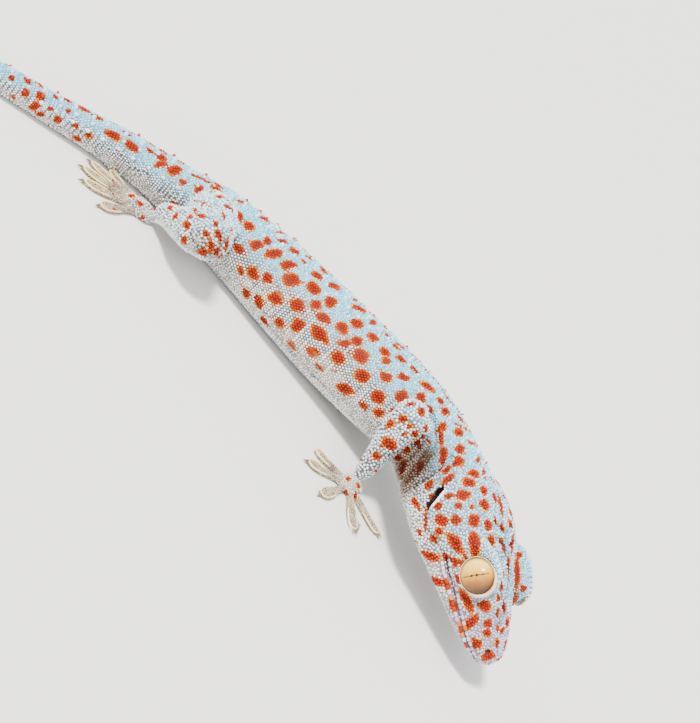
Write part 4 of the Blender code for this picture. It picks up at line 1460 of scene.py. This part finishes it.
def creaseShare(points):
    # 1 in the depth of a fold, 0 beside it: the share of painted shade there, which also stands for the
    #                                        darker skin deep in a fold
    share = np.zeros(len(points))
    for line, depth, wide in creaseLines:
        near = pointTree(line)
        low, high = line.min(0) - 2 * mm, line.max(0) + 2 * mm
        inside = np.nonzero(np.all((points > low) & (points < high), axis=1))[0]
        away = np.array([near.find(points[i])[2] for i in inside]) / (wide * 1.15 * mm)
        share[inside] = np.maximum(share[inside], np.exp(-(away**2)) * min(1, 0.3 + depth))
    return share


def brownAndShadeShare(points):
    # 1 on the brownish skin that also carries painted shade of the armpit and the folds, 0 elsewhere
    share = np.zeros(len(points))
    for (x, y), reach, strength in brownAndShadePatches:
        place = sightHit(skinTree, x, y)[0]
        if place is None:
            continue
        # faint on the other side, where the limb lies clear of the neck
        for middle, much in ((np.array(place), strength), (mirrored(np.array([place]))[0], 0.2)):
            away = np.linalg.norm(points - middle, axis=1) / (reach * mm)
            share = np.maximum(share, much * np.exp(-(away**2)))
    return share


def markPiece(piece, values, repeat):
    for name, rows in values.items():
        setAttribute(piece.data, name, np.repeat(rows, repeat))


def laidRoots(samples, cones):
    # the rows of the body and the samples between them, thinned and evened out
    laid = []
    low, high = net["band"]
    for rows in bodyRows():
        onto, _ = ontoSkin(rows)
        near = np.linalg.norm(onto - rows, axis=1) < 1.3 * mm
        along, angle = alongAndAngle(onto)
        near &= (np.sin(angle) > low) & ((np.sin(angle) < high) | (along < tailReach * 0.9))
        laid.append(onto[near & ofKind(kindsAt(onto), "body")])
    points = np.concatenate([*laid, samples])
    gaps = scaleGaps(points, kindsAt(points))
    coneGaps = cones[2][:, 0] * 1.75
    kept = thinned(points, gaps, cones[0], coneGaps)
    pinned = len(cones[0]) + int((kept < len(laid[0])).sum())
    points = np.concatenate([cones[0], points[kept]])
    gaps = np.concatenate([coneGaps, gaps[kept]])
    print("scales laid out,", len(points))
    points, normals = relaxed(points, gaps, pinned)
    return [rows[len(cones[0]) :] for rows in (points, normals, gaps)]


def scaleSizes(points, gaps, pointKinds, angle, draw):
    # half length, half width and height of each scale
    shape = np.array([coat["width"] * 1.04, coat["width"] * 0.98, coat["height"]])
    sizes = gaps[:, None] * shape * draw.uniform(0.93, 1.07, (len(points), 1))
    sizes[:, 2] *= draw.uniform(0.85, 1.2, len(points))
    onBody = ofKind(pointKinds, "body")
    hind = ofKind(pointKinds, "limb") & (points[:, 0] < 0)
    sizes[:, :2] *= (np.where(onBody, 1, coat["plumper"]) + 0.1 * hind)[:, None]
    sizes[:, 1] *= np.where(onBody, np.interp(np.sin(angle), [-1, -0.8, -0.5], [1.25, 1.1, 0.98]), 1)
    sizes[:, 2] *= np.where(ofKind(pointKinds, "toe"), 0.8, 1)
    return sizes


def addScales(spots, samples, cones, plates, draw):
    points, normals, gaps = laidRoots(samples, cones)
    keep = ~bareOfScales(points, normals, plates)
    points, normals, gaps = points[keep], normals[keep], gaps[keep]
    pointKinds = kindsAt(points)
    lies = alongSkin(normals, points)
    along, angle = alongAndAngle(points)
    sizes = scaleSizes(points, gaps, pointKinds, angle, draw)
    marks = spotField(points, normals, spots)
    back, tan, lip = colourShares(points, normals, pointKinds)
    tone = draw.random(len(points))
    marks = np.clip(marks + draw.uniform(-0.07, 0.07, len(points)) * (marks > 0.01), 0, 1)
    values = {"spot": marks, "back": back, "tan": tan, "lip": lip, "tone": tone}
    # painted shade in the folds, and brownish skin with painted shade round the armpit
    values["brown_and_shade"], values["painted_shade"] = brownAndShadeShare(points), creaseShare(points) * 0.6
    groups = {"body": ["body"], "head": ["head"], "limb": ["limb"], "paw": ["paw", "toe"]}
    for group, members in groups.items():
        inside = np.nonzero(ofKind(pointKinds, *members))[0]
        inside = inside[np.argsort(along[inside] if group != "paw" else points[inside][:, 0])]
        parts = max(1, math.ceil(len(inside) / coat["perPiece"]))
        for number, chosen in enumerate(np.array_split(inside, parts)):
            name = f"scales_{group}_{number + 1}"
            uvRoots = unwrapped(points[chosen], normals[chosen], group)
            piece, repeat = scaleMesh(
                name, points[chosen], normals[chosen], lies[chosen], sizes[chosen],
                beadProfile, 6, uvRoots,
            )
            markPiece(piece, {k: v[chosen] for k, v in values.items()}, repeat)
            finishPiece(piece, scaleMaterial)
    print("scales made,", len(points))


def addLargeScales(spots, cones, plates, draw):
    # the tubercles and the scales of the lips
    extra = {
        "tubercles": (cones[0], cones[1], alongSkin(cones[1], cones[0]), cones[2], coneProfile, 8, 2.0),
        "lip_scales": (*plates, plateProfile, 12, 3.2),
    }
    for name, (roots, facing, lie, shape, profile, sides, square) in extra.items():
        uvRoots = unwrapped(roots, facing, "body")
        piece, repeat = scaleMesh(name, roots, facing, lie, shape, profile, sides, uvRoots, square)
        back, tan, lip = colourShares(roots, facing, kindsAt(roots))
        marks = spotField(roots, facing, spots)
        tone = draw.random(len(roots))
        if name == "tubercles":
            back = back * 0.7
            tone = 0.4 + 0.6 * tone
            marks = np.where(marks > 0.3, marks, 0)
        markPiece(piece, {"spot": marks, "back": back, "tan": tan, "lip": lip, "tone": tone}, repeat)
        finishPiece(piece, scaleMaterial)


def markSkin(spots):
    # the same markings on the skin, with painted shade in the ear openings, the nostrils, the mouth's line
    # and the folds
    back, tan, lip = colourShares(skinCorners, skinNormals, kindsAt(skinCorners))
    rows = toHead(skinCorners)
    across, along = earShares(rows)
    wide, long = head["earHalf"]
    painted_shade = besideEar(rows) * step01(-np.hypot(across / wide, along / long), -1.45, -1.2)
    rise = np.abs(rows[:, 2] - mouthLine(rows[:, 0]))
    mouth = step01(-rise, -0.3, -0.08) * onJaws(rows)
    mouth = mouth * step01(rows[:, 0], head["mouthCorner"] - 1, head["mouthCorner"] + 1)
    painted_shade = np.maximum(painted_shade, 0.6 * mouth)
    for side in (1, -1):
        painted_shade = np.maximum(painted_shade, 0.9 * step01(-nostrilDistance(rows, side), -0.72, -0.5))
    painted_shade = np.maximum(painted_shade, creaseShare(skinCorners) * 0.75)
    marks = {"spot": spotField(skinCorners, skinNormals, spots), "back": back, "tan": tan, "lip": lip}
    marks.update({"painted_shade": painted_shade, "brown_and_shade": brownAndShadeShare(skinCorners), "tone": np.full(len(rows), 0.5)})
    markPiece(skinPiece, marks, 1)


def addCoat():
    samples, sampleNormals = skinSamples(coat["candidates"], coat["seed"])
    few = slice(0, markings["places"])
    spots = allSpots(samples[few], sampleNormals[few], kindsAt(samples[few]))
    print("spots placed,", len(spots))
    cones = tubercleRoots()
    plates = lipRoots()
    draw = np.random.default_rng(coat["seed"])
    addScales(spots, samples, cones, plates, draw)
    addLargeScales(spots, cones, plates, draw)
    markSkin(spots)


# Finishes
def markedColour(tree, palette):
    # ground from belly to back, then the tan of the toes, the pink of the lips and the spots over it, then
    # brownish skin that also carries painted shade of the armpit, and painted shade in the folds and
    # openings last
    marks = {
        name: addNode(tree, "ShaderNodeAttribute", attribute_name=name)
        for name in ("spot", "back", "tan", "lip", "tone", "brown_and_shade", "painted_shade")
    }
    place = addNode(tree, "ShaderNodeTexCoord")
    patches = addNode(
        tree, "ShaderNodeTexNoise", {"Scale": 260.0, "Detail": 2.0}, {"Vector": place.outputs["Object"]}
    )
    grain = addNode(
        tree, "ShaderNodeTexNoise", {"Scale": 5200.0, "Detail": 3.0}, {"Vector": place.outputs["Object"]}
    )
    sway = addNode(
        tree, "ShaderNodeMath", {1: 0.9, 2: -0.45}, {0: patches.outputs["Fac"]}, operation="MULTIPLY_ADD"
    )
    level = addNode(
        tree, "ShaderNodeMath", None, {0: marks["back"].outputs["Fac"], 1: sway.outputs[0]}, operation="ADD"
    )
    ground = addNode(tree, "ShaderNodeValToRGB", None, {"Fac": level.outputs[0]}, palette["ground"])
    colour = ground.outputs["Color"]
    for name, stops in (("tan", palette["tan"]), ("lip", palette["lip"])):
        layer = addNode(tree, "ShaderNodeValToRGB", None, {"Fac": patches.outputs["Fac"]}, stops)
        mix = addNode(
            tree, "ShaderNodeMix", None,
            {0: marks[name].outputs["Fac"], 6: colour, 7: layer.outputs["Color"]}, data_type="RGBA",
        )
        colour = mix.outputs[2]
    toneRamp = addNode(
        tree, "ShaderNodeValToRGB", None, {"Fac": marks["tone"].outputs["Fac"]}, palette["tone"]
    )
    toned = addNode(
        tree, "ShaderNodeMix", {0: 1.0}, {6: colour, 7: toneRamp.outputs["Color"]},
        data_type="RGBA", blend_type="MULTIPLY",
    )
    # brownish skin that also carries painted shade of the armpit and its folds, over the ground and then
    # over the spots
    brownedAndShaded = addNode(
        tree, "ShaderNodeMix", {7: linearColour(palette["brown_and_shade"])},
        {0: marks["brown_and_shade"].outputs["Fac"], 6: toned.outputs[2]}, data_type="RGBA",
    )
    spotRamp = addNode(
        tree, "ShaderNodeValToRGB", None, {"Fac": marks["spot"].outputs["Fac"]}, palette["spot"]
    )
    spotBrownedAndShaded = addNode(
        tree, "ShaderNodeMix", {7: linearColour("#9C7C74")},
        {0: marks["brown_and_shade"].outputs["Fac"], 6: spotRamp.outputs["Color"]},
        data_type="RGBA", blend_type="MULTIPLY",
    )
    mask = addNode(
        tree, "ShaderNodeMapRange", {1: 0.02, 2: 0.16}, {0: marks["spot"].outputs["Fac"]},
        interpolation_type="SMOOTHSTEP",
    )
    spotted = addNode(
        tree, "ShaderNodeMix", None,
        {0: mask.outputs[0], 6: brownedAndShaded.outputs[2], 7: spotBrownedAndShaded.outputs[2]}, data_type="RGBA",
    )
    dusky = addNode(
        tree, "ShaderNodeMix", {7: linearColour("#B4988C")},
        {0: marks["brown_and_shade"].outputs["Fac"], 6: spotted.outputs[2]},
        data_type="RGBA", blend_type="MULTIPLY",
    )
    speck = addNode(
        tree, "ShaderNodeValToRGB", None, {"Fac": grain.outputs["Fac"]}, [(0.3, "#D9D9D9"), (0.7, "#FFFFFF")]
    )
    specked = addNode(
        tree, "ShaderNodeMix", {0: 1.0}, {6: dusky.outputs[2], 7: speck.outputs["Color"]},
        data_type="RGBA", blend_type="MULTIPLY",
    )
    # painted shade in the folds, the ear openings, the nostrils and the mouth's line
    withPaintedShade = addNode(
        tree, "ShaderNodeMix", {7: linearColour(palette["painted_shade"])},
        {0: marks["painted_shade"].outputs["Fac"], 6: specked.outputs[2]}, data_type="RGBA",
    )
    return withPaintedShade.outputs[2], grain


def reptileSkin(name, palette, roughness, bumpDepth):
    # keratin over soft flesh: a satin sheen, broken by fine grain
    material, tree, shader = newMaterial(name, {"Specular IOR Level": 0.12})
    colour, grain = markedColour(tree, palette)
    tree.links.new(colour, shader.inputs["Base Color"])
    rough = addNode(
        tree, "ShaderNodeMapRange", {3: roughness - 0.07, 4: roughness + 0.1}, {0: grain.outputs["Fac"]}
    )
    tree.links.new(rough.outputs[0], shader.inputs["Roughness"])
    bump = addNode(
        tree, "ShaderNodeBump", {"Strength": 0.5, "Distance": bumpDepth * mm},
        {"Height": grain.outputs["Fac"]},
    )
    tree.links.new(bump.outputs["Normal"], shader.inputs["Normal"])
    return material


# in both palettes the last two colours are brownish skin, which also carries painted shade, and painted
# shade for the folds and openings
scalePalette = {
    "ground": [(0.0, "#F4F0EA"), (0.3, "#EEF4F8"), (0.62, "#D6F6FF"), (1.0, "#9EECFF")],
    "tan": [(0.3, "#D8CCB4"), (0.7, "#B4A490")],
    "lip": [(0.3, "#D8C8DC"), (0.7, "#B8A4BC")],
    "tone": [(0.0, "#AEBAC4"), (0.3, "#E2EAF0"), (0.7, "#FFFFFF")],
    "spot": [(0.03, "#F0E8AC"), (0.16, "#ECB860"), (0.25, "#DC7A14"), (0.4, "#C23C00"), (0.9, "#A82000")],
    "brown_and_shade": "#8E7E66",
    "painted_shade": "#220C0D",
}
# the skin between the scales: its own darker colour, deepened as painted shade between the beads
skinPalette = {
    "ground": [(0.0, "#A89E90"), (0.14, "#78746C"), (0.28, "#585E5A"), (0.6, "#6C8694"), (1.0, "#70B0C8")],
    "tan": [(0.3, "#A08E74"), (0.7, "#7C6A58")],
    "lip": [(0.3, "#A88490"), (0.7, "#886474")],
    "tone": [(0.0, "#E0E0E0"), (1.0, "#FFFFFF")],
    "spot": [(0.03, "#A88050"), (0.16, "#9C5A20"), (0.25, "#863A0C"), (0.4, "#742400"), (0.9, "#601400")],
    "brown_and_shade": "#4A3C30",
    "painted_shade": "#220C0D",
}
scaleMaterial = reptileSkin("keratin scales", scalePalette, 0.46, 0.02)
skinMaterial = reptileSkin("soft skin between scales", skinPalette, 0.55, 0.04)
addCoat()
finishPiece(skinPiece, skinMaterial, fleshNodes)


# Eyes: a lidless globe with a closed slit, set in a pale ring
iris = {
    # the iris runs from light gold on its neck's side to dark brown on its snout's side; the light side
    # faces up to the camera, so this is partly painted light from above
    "top": "#FCE070",
    "middle": "#E0A030",
    "low": "#98601E",
    "bottom": "#46280E",
    "slit": "#2A160C",
    # painted shade in a ring round the iris's rim
    "edge": "#2A2016",
    # place along the slit and size of each pinhole, as shares of the eye's opening
    "pinholes": [(0.4, 0.046), (0.54, 0.048), (0.7, 0.034)],
    "finish": {
        "Roughness": 0.32,
        "Specular IOR Level": 0.2,
        "Coat Weight": 0.5,
        "Coat IOR": 1.38,
        "Coat Roughness": 0.06,
    },
}


def irisMaterial():
    # a wet clear spectacle over a beige gold iris
    material, tree, shader = newMaterial("gecko eye", iris["finish"])
    uv = addNode(tree, "ShaderNodeUVMap", uv_map="iris")
    split = addNode(tree, "ShaderNodeSeparateXYZ", None, {0: uv.outputs["UV"]})
    # light at the neck's side, dark at the snout's side: partly painted light from above
    ramp = addNode(
        tree, "ShaderNodeValToRGB", None, {"Fac": split.outputs["Y"]},
        [(0.1, iris["top"]), (0.46, iris["middle"]), (0.68, iris["low"]), (0.93, iris["bottom"])],
    )
    veins = addNode(
        tree, "ShaderNodeTexNoise", {"Scale": 26.0, "Detail": 6.0, "Roughness": 0.65, "Distortion": 1.2},
        {"Vector": uv.outputs["UV"]},
    )
    veinRamp = addNode(
        tree, "ShaderNodeValToRGB", None, {"Fac": veins.outputs["Fac"]},
        [(0.34, "#A88458"), (0.5, "#FFFFFF"), (0.7, "#F2E4C8")],
    )
    veined = addNode(
        tree, "ShaderNodeMix", {0: 0.75}, {6: ramp.outputs["Color"], 7: veinRamp.outputs["Color"]},
        data_type="RGBA", blend_type="MULTIPLY",
    )
    # the slit runs along X, wavering a little, with pinholes left open in it
    waver = addNode(tree, "ShaderNodeTexNoise", {"Scale": 9.0}, {"Vector": uv.outputs["UV"]})
    offset = addNode(
        tree, "ShaderNodeMath", {1: 0.05, 2: 0.475}, {0: waver.outputs["Fac"]}, operation="MULTIPLY_ADD"
    )
    apart = addNode(
        tree, "ShaderNodeMath", None, {0: split.outputs["Y"], 1: offset.outputs[0]}, operation="SUBTRACT"
    )
    near = addNode(tree, "ShaderNodeMath", None, {0: apart.outputs[0]}, operation="ABSOLUTE")
    line = addNode(tree, "ShaderNodeMapRange", {1: 0.008, 2: 0.021, 3: 0.9, 4: 0.0}, {0: near.outputs[0]})
    fromMiddle = addNode(
        tree, "ShaderNodeMath", {1: 0.5}, {0: split.outputs["X"]}, operation="SUBTRACT"
    )
    reach = addNode(tree, "ShaderNodeMath", None, {0: fromMiddle.outputs[0]}, operation="ABSOLUTE")
    ends = addNode(tree, "ShaderNodeMapRange", {1: 0.33, 2: 0.38, 3: 1.0, 4: 0.0}, {0: reach.outputs[0]})
    slit = addNode(
        tree, "ShaderNodeMath", None, {0: line.outputs[0], 1: ends.outputs[0]}, operation="MULTIPLY"
    )
    mask = slit.outputs[0]
    for across, size in iris["pinholes"]:
        gap = addNode(
            tree, "ShaderNodeVectorMath", {1: (across, 0.5, 0.0)}, {0: uv.outputs["UV"]},
            operation="DISTANCE",
        )
        hole = addNode(
            tree, "ShaderNodeMapRange", {1: size * 0.6, 2: size, 3: 1.0, 4: 0.0},
            {0: gap.outputs["Value"]},
        )
        joined = addNode(tree, "ShaderNodeMath", None, {0: mask, 1: hole.outputs[0]}, operation="MAXIMUM")
        mask = joined.outputs[0]
    slitMix = addNode(
        tree, "ShaderNodeMix", {7: linearColour(iris["slit"])}, {0: mask, 6: veined.outputs[2]},
        data_type="RGBA",
    )
    middle = addNode(
        tree, "ShaderNodeVectorMath", {1: (0.5, 0.5, 0.0)}, {0: uv.outputs["UV"]}, operation="DISTANCE"
    )
    # painted shade in a ring at the iris's rim
    edge = addNode(tree, "ShaderNodeMapRange", {1: 0.4, 2: 0.48}, {0: middle.outputs["Value"]})
    rimShaded = addNode(
        tree, "ShaderNodeMix", {7: linearColour(iris["edge"])},
        {0: edge.outputs[0], 6: slitMix.outputs[2]}, data_type="RGBA",
    )
    tree.links.new(rimShaded.outputs[2], shader.inputs["Base Color"])
    return material


def addEye(side, material):
    middle, aim, snout, across = eyePose(side)
    bpy.ops.mesh.primitive_uv_sphere_add(segments=96, ring_count=56, radius=eye["radius"] * mm)
    piece = bpy.context.object
    piece.name = "eyeball_left" if side > 0 else "eyeball_right"
    turn = Matrix((across, -snout, aim)).transposed().to_4x4()
    piece.data.transform(Matrix.Translation(middle) @ turn)
    faceOutwards(piece.data)
    piece.data.shade_smooth()
    flat = readCorners(piece.data) - np.array(middle)
    reach = 2 * eye["opening"] * mm
    slit = math.radians(eye["slitTurn"])
    across, snout = np.array(across), np.array(snout) * side
    u = 0.5 + flat @ (across * math.cos(slit) + snout * math.sin(slit)) / reach
    v = 0.5 + flat @ (snout * math.cos(slit) - across * math.sin(slit)) * side / reach
    numbers = readRows(piece.data.loops, "vertex_index", 1, np.int32)[:, 0]
    uv = piece.data.uv_layers.new(name="iris")
    uv.data.foreach_set("uv", np.stack([u, v], axis=1)[numbers].astype(np.float32).ravel())
    finishPiece(piece, material, ["eye_left" if side > 0 else "eye_right"])


lids = {
    "thin": 0.1,
    "swell": {1: 0.14, -1: 0.32},  # more thickness on the snout's side, on the left and the right
    "towards": 50,  # degrees of the thick side, clockwise from the picture's right
    "around": 132,
    "tube": 14,
    # painted shade where the rim meets the eye
    "painted_shade": "#2A2018",
}


def lidMaterial():
    # the thin rim of skin that holds the spectacle: smooth, moist and pale, with painted shade where it
    # meets the eye
    material, tree, shader = newMaterial("lid rim", {"Roughness": 0.38})
    pale = mottledColour(tree, 900.0, 3.0, [(0.35, "#ECCCA0"), (0.7, "#C89C7C")])
    inner = addNode(tree, "ShaderNodeAttribute", attribute_name="painted_shade")
    mix = addNode(
        tree, "ShaderNodeMix", {7: linearColour(lids["painted_shade"])}, {0: inner.outputs["Fac"], 6: pale},
        data_type="RGBA",
    )
    tree.links.new(mix.outputs[2], shader.inputs["Base Color"])
    return material


def addLid(side, material):
    middle, aim, snout, across = (np.array(v) for v in eyePose(side))
    towards = math.radians(lids["towards"])
    thick = np.array(cameraRight * math.cos(towards) - cameraUp * math.sin(towards))
    if side > 0:
        thick = thick - 2 * headTurn[1] * (thick @ headTurn[1])
    thick = unit(thick - aim * (thick @ aim))
    around, tube = lids["around"], lids["tube"]
    turn = np.arange(around) * 2 * math.pi / around
    out = np.outer(np.cos(turn), snout) + np.outer(np.sin(turn) * eye["squeeze"], across)
    facing = unit(out)
    radius = lids["thin"] + lids["swell"][side] * np.maximum(0, facing @ thick) ** 1.5
    radius += 0.015 * np.cos(44 * turn)
    rows = []
    for k in range(tube):
        angle = 2 * math.pi * k / tube
        ring = out * eye["opening"] + facing * (radius * (0.75 + math.cos(angle)))[:, None]
        lift = np.sqrt(np.maximum(eye["radius"] ** 2 - (out**2).sum(1) * eye["opening"] ** 2, 0)) - 0.08
        high = lift + radius * math.sin(angle)
        rows.append(middle + (ring + np.outer(high, aim)) * mm)
    corners = np.concatenate(rows)
    i, j = np.meshgrid(np.arange(tube), np.arange(around), indexing="ij")
    nextI, nextJ = (i + 1) % tube, (j + 1) % around
    quads = np.stack([i * around + j, i * around + nextJ, nextI * around + nextJ, nextI * around + j], -1)
    piece = meshObject("lid_left" if side > 0 else "lid_right", corners, [quads.reshape(-1, 4)])
    faceOutwards(piece.data)
    angles = np.repeat(2 * math.pi * np.arange(tube) / tube, around)
    # painted shade on the inner side of the tube, where it meets the eye
    setAttribute(piece.data, "painted_shade", step01(-np.cos(angles), 0.6, 0.88))
    finishPiece(piece, material)


eyeFinish, lidFinish = irisMaterial(), lidMaterial()
for side in (1, -1):
    addEye(side, eyeFinish)
    addLid(side, lidFinish)
print("eyes and lids made")

# Claws and toe pads
claws = {"length": 1.1, "radius": 0.2, "rings": 7, "sides": 8, "bend": 0.45}
pads = {"halfWidth": 1.24, "rim": 0.2, "height": 0.82, "sides": 8, "steps": 44}


def paleHorn():
    # smooth horn, amber to brown, that catches a small highlight
    material, tree, shader = newMaterial("claw horn", {"Roughness": 0.25})
    colour = mottledColour(tree, 1500.0, 2.0, [(0.3, "#A88648"), (0.7, "#675135")])
    tree.links.new(colour, shader.inputs["Base Color"])
    return material


def softEdge(name, stops):
    # the soft edge of a toe pad or an ear: matt, smooth and pale
    material, tree, shader = newMaterial(name, {"Roughness": 0.5})
    tree.links.new(mottledColour(tree, 700.0, 3.0, stops), shader.inputs["Base Color"])
    return material


def sweptTube(lines, sides, name):
    # closed tubes, each along rows of (middle, side direction, up direction, radius)
    corners, faces = [], []
    for middles, outs, ups, radii in lines:
        base, count = len(corners), len(middles)
        for k in range(count):
            for j in range(sides):
                angle = 2 * math.pi * j / sides
                around = outs[k] * math.cos(angle) + ups[k] * math.sin(angle)
                corners.append(middles[k] + around * radii[k])
        for k in range(count - 1):
            for j in range(sides):
                low, high, following = base + k * sides, base + (k + 1) * sides, (j + 1) % sides
                faces.append((low + j, low + following, high + following, high + j))
        faces.append(tuple(base + j for j in range(sides)))
        faces.append(tuple(base + (count - 1) * sides + j for j in range(sides)))
    mesh = bpy.data.meshes.new(name)
    mesh.from_pydata([tuple(c) for c in corners], [], faces)
    faceOutwards(mesh)
    mesh.shade_smooth()
    return addObject(name, mesh)


def padRim(name):
    # the raised edge of one pad: up one side, round the tip and down the other
    root, way, side, length = toeFrame(name)
    way, side = np.append(way, 0), np.append(side, 0)
    root = np.append(root, 0)
    ahead = np.array([0.4, 0.5, 0.6, 0.7, 0.8, 0.87, 0.93, 0.975, 0.995])
    wide = np.array([0.6, 0.8, 0.96, 1.0, 0.99, 0.9, 0.72, 0.42, 0.0])
    line = np.stack([ahead * length, wide * pads["halfWidth"] * mm], axis=1)
    line = np.concatenate([line, (line * (1, -1))[-2::-1]])
    walk = np.concatenate([[0], np.cumsum(np.linalg.norm(np.diff(line, axis=0), axis=1))])
    places = np.linspace(0, walk[-1], pads["steps"])
    line = np.stack([np.interp(places, walk, line[:, k]) for k in range(2)], axis=1)
    for _ in range(3):
        line[1:-1] = (line[:-2] + line[1:-1] * 2 + line[2:]) / 4
    end = np.minimum(places, places[-1] - places) / mm
    height = (0.7 + (pads["height"] - 0.7) * step01(end, 0, 1.2)) * mm
    middles = root + np.outer(line[:, 0], way) + np.outer(line[:, 1], side)
    middles[:, 2] = height
    steps = unit(np.gradient(middles, axis=0))
    up = np.tile([0.0, 0.0, 1.0], (len(middles), 1))
    radii = pads["rim"] * mm * (0.35 + 0.65 * step01(end, 0, 1.0))
    return middles, np.cross(steps, up), up, radii


earRims = {
    # mm from the slit's middle to the edge's middle, half length, half thickness, lift
    "across": 1.06,
    "half": 2.5,
    "thick": 0.26,
    "lift": 0.08,
    "steps": 26,
}


def earRim(side):
    # the smooth pale edge of an ear opening, on the head's side of it
    slant = math.radians(head["earSlant"])
    along = np.linspace(-1, 1, earRims["steps"])
    across = earRims["across"] * np.sqrt(1 - 0.55 * along**2)
    along = along * earRims["half"]
    ahead = head["earSlit"][0] + across * math.cos(slant) + along * math.sin(slant)
    above = head["earSlit"][1] - across * math.sin(slant) + along * math.cos(slant)
    out = np.full(len(along), 1.2 * side * headWidth(head["earSlit"][0]))
    starts = fromHead(np.stack([ahead, out, above], axis=1))
    inward = Vector(-side * headTurn[1])
    hits = [skinTree.ray_cast(Vector(start), inward) for start in starts]
    middles = np.array([hit[0] for hit in hits])
    for _ in range(4):
        middles[1:-1] = (middles[:-2] + middles[1:-1] * 2 + middles[2:]) / 4
    up = unit(np.array([faceNormals[hit[2]] for hit in hits]))
    end = 1 - np.abs(along) / earRims["half"]
    radii = earRims["thick"] * mm * (0.3 + 0.7 * step01(end, 0, 0.45))
    middles += up * earRims["lift"] * mm
    steps = unit(np.gradient(middles, axis=0))
    return middles, unit(np.cross(steps, up)), up, radii


def clawLine(name):
    root, way, side, length = toeFrame(name)
    way, side = np.append(way, 0), np.append(side, 0)
    tip = np.append(root, 0) + way * length * 1.12
    rows = []
    for k in range(claws["rings"]):
        t = k / (claws["rings"] - 1)
        radius = claws["radius"] * mm * (1 - t) ** 0.7 + 0.00001
        middle = tip - way * claws["length"] * mm * (1 - t)
        middle[2] = max((0.85 - claws["bend"] * t**2) * mm, radius)
        rows.append((middle, side * 0.8, np.array([0, 0, 1.0]), radius))
    return [np.array(column) for column in zip(*rows)]


clawed = [name for name in digits if not name.endswith("_1")]
clawPiece = sweptTube([clawLine(name) for name in clawed], claws["sides"], "claws")
finishPiece(clawPiece, paleHorn())
rimPiece = sweptTube([padRim(name) for name in digits], pads["sides"], "pad_rims")
finishPiece(rimPiece, softEdge("toe pad edge", [(0.35, "#ECE09C"), (0.7, "#E4BC7C")]))
earPiece = sweptTube([earRim(1), earRim(-1)], pads["sides"], "ear_rims")
finishPiece(earPiece, softEdge("ear edge", [(0.35, "#F4ECEC"), (0.7, "#E8D0CC")]))
print("claws, pads and ear rims made")


# Floor and light
def addFloor():
    bpy.ops.mesh.primitive_plane_add(size=60.0, location=(0, 0, 0))
    floor = bpy.context.object
    floor.name = "floor"
    card = {"Base Color": linearColour("#E0DED9"), "Roughness": 0.85}
    floor.data.materials.append(newMaterial("matt pale card", card)[0])


lighting = {
    # direction that each light comes from, its strength, its softness in degrees and its colour
    "key": ((-0.35, -0.45, 1.0), 8.0, 12.0, "#FFFCF8"),
    "fill": ((0.6, -1.0, 0.35), 2.1, 50.0, "#F4F7FF"),
    "sky": ("#F2F6FA", 1.75),
}


def addSun(name, way, strength, softness, colour):
    light = addObject(name, bpy.data.lights.new(name, "SUN"))
    light.data.energy = strength
    light.data.angle = math.radians(softness)
    light.data.color = linearColour(colour)[:3]
    light.rotation_euler = (-Vector(way)).to_track_quat("-Z", "Y").to_euler()


addFloor()
addSun("keyLight", *lighting["key"])
addSun("fillLight", *lighting["fill"])
world = bpy.context.scene.world or bpy.data.worlds.new("world")
bpy.context.scene.world = world
world.use_nodes = True
sky = world.node_tree.nodes["Background"].inputs
sky["Color"].default_value = linearColour(lighting["sky"][0])
sky["Strength"].default_value = lighting["sky"][1]
print("floor and light set")
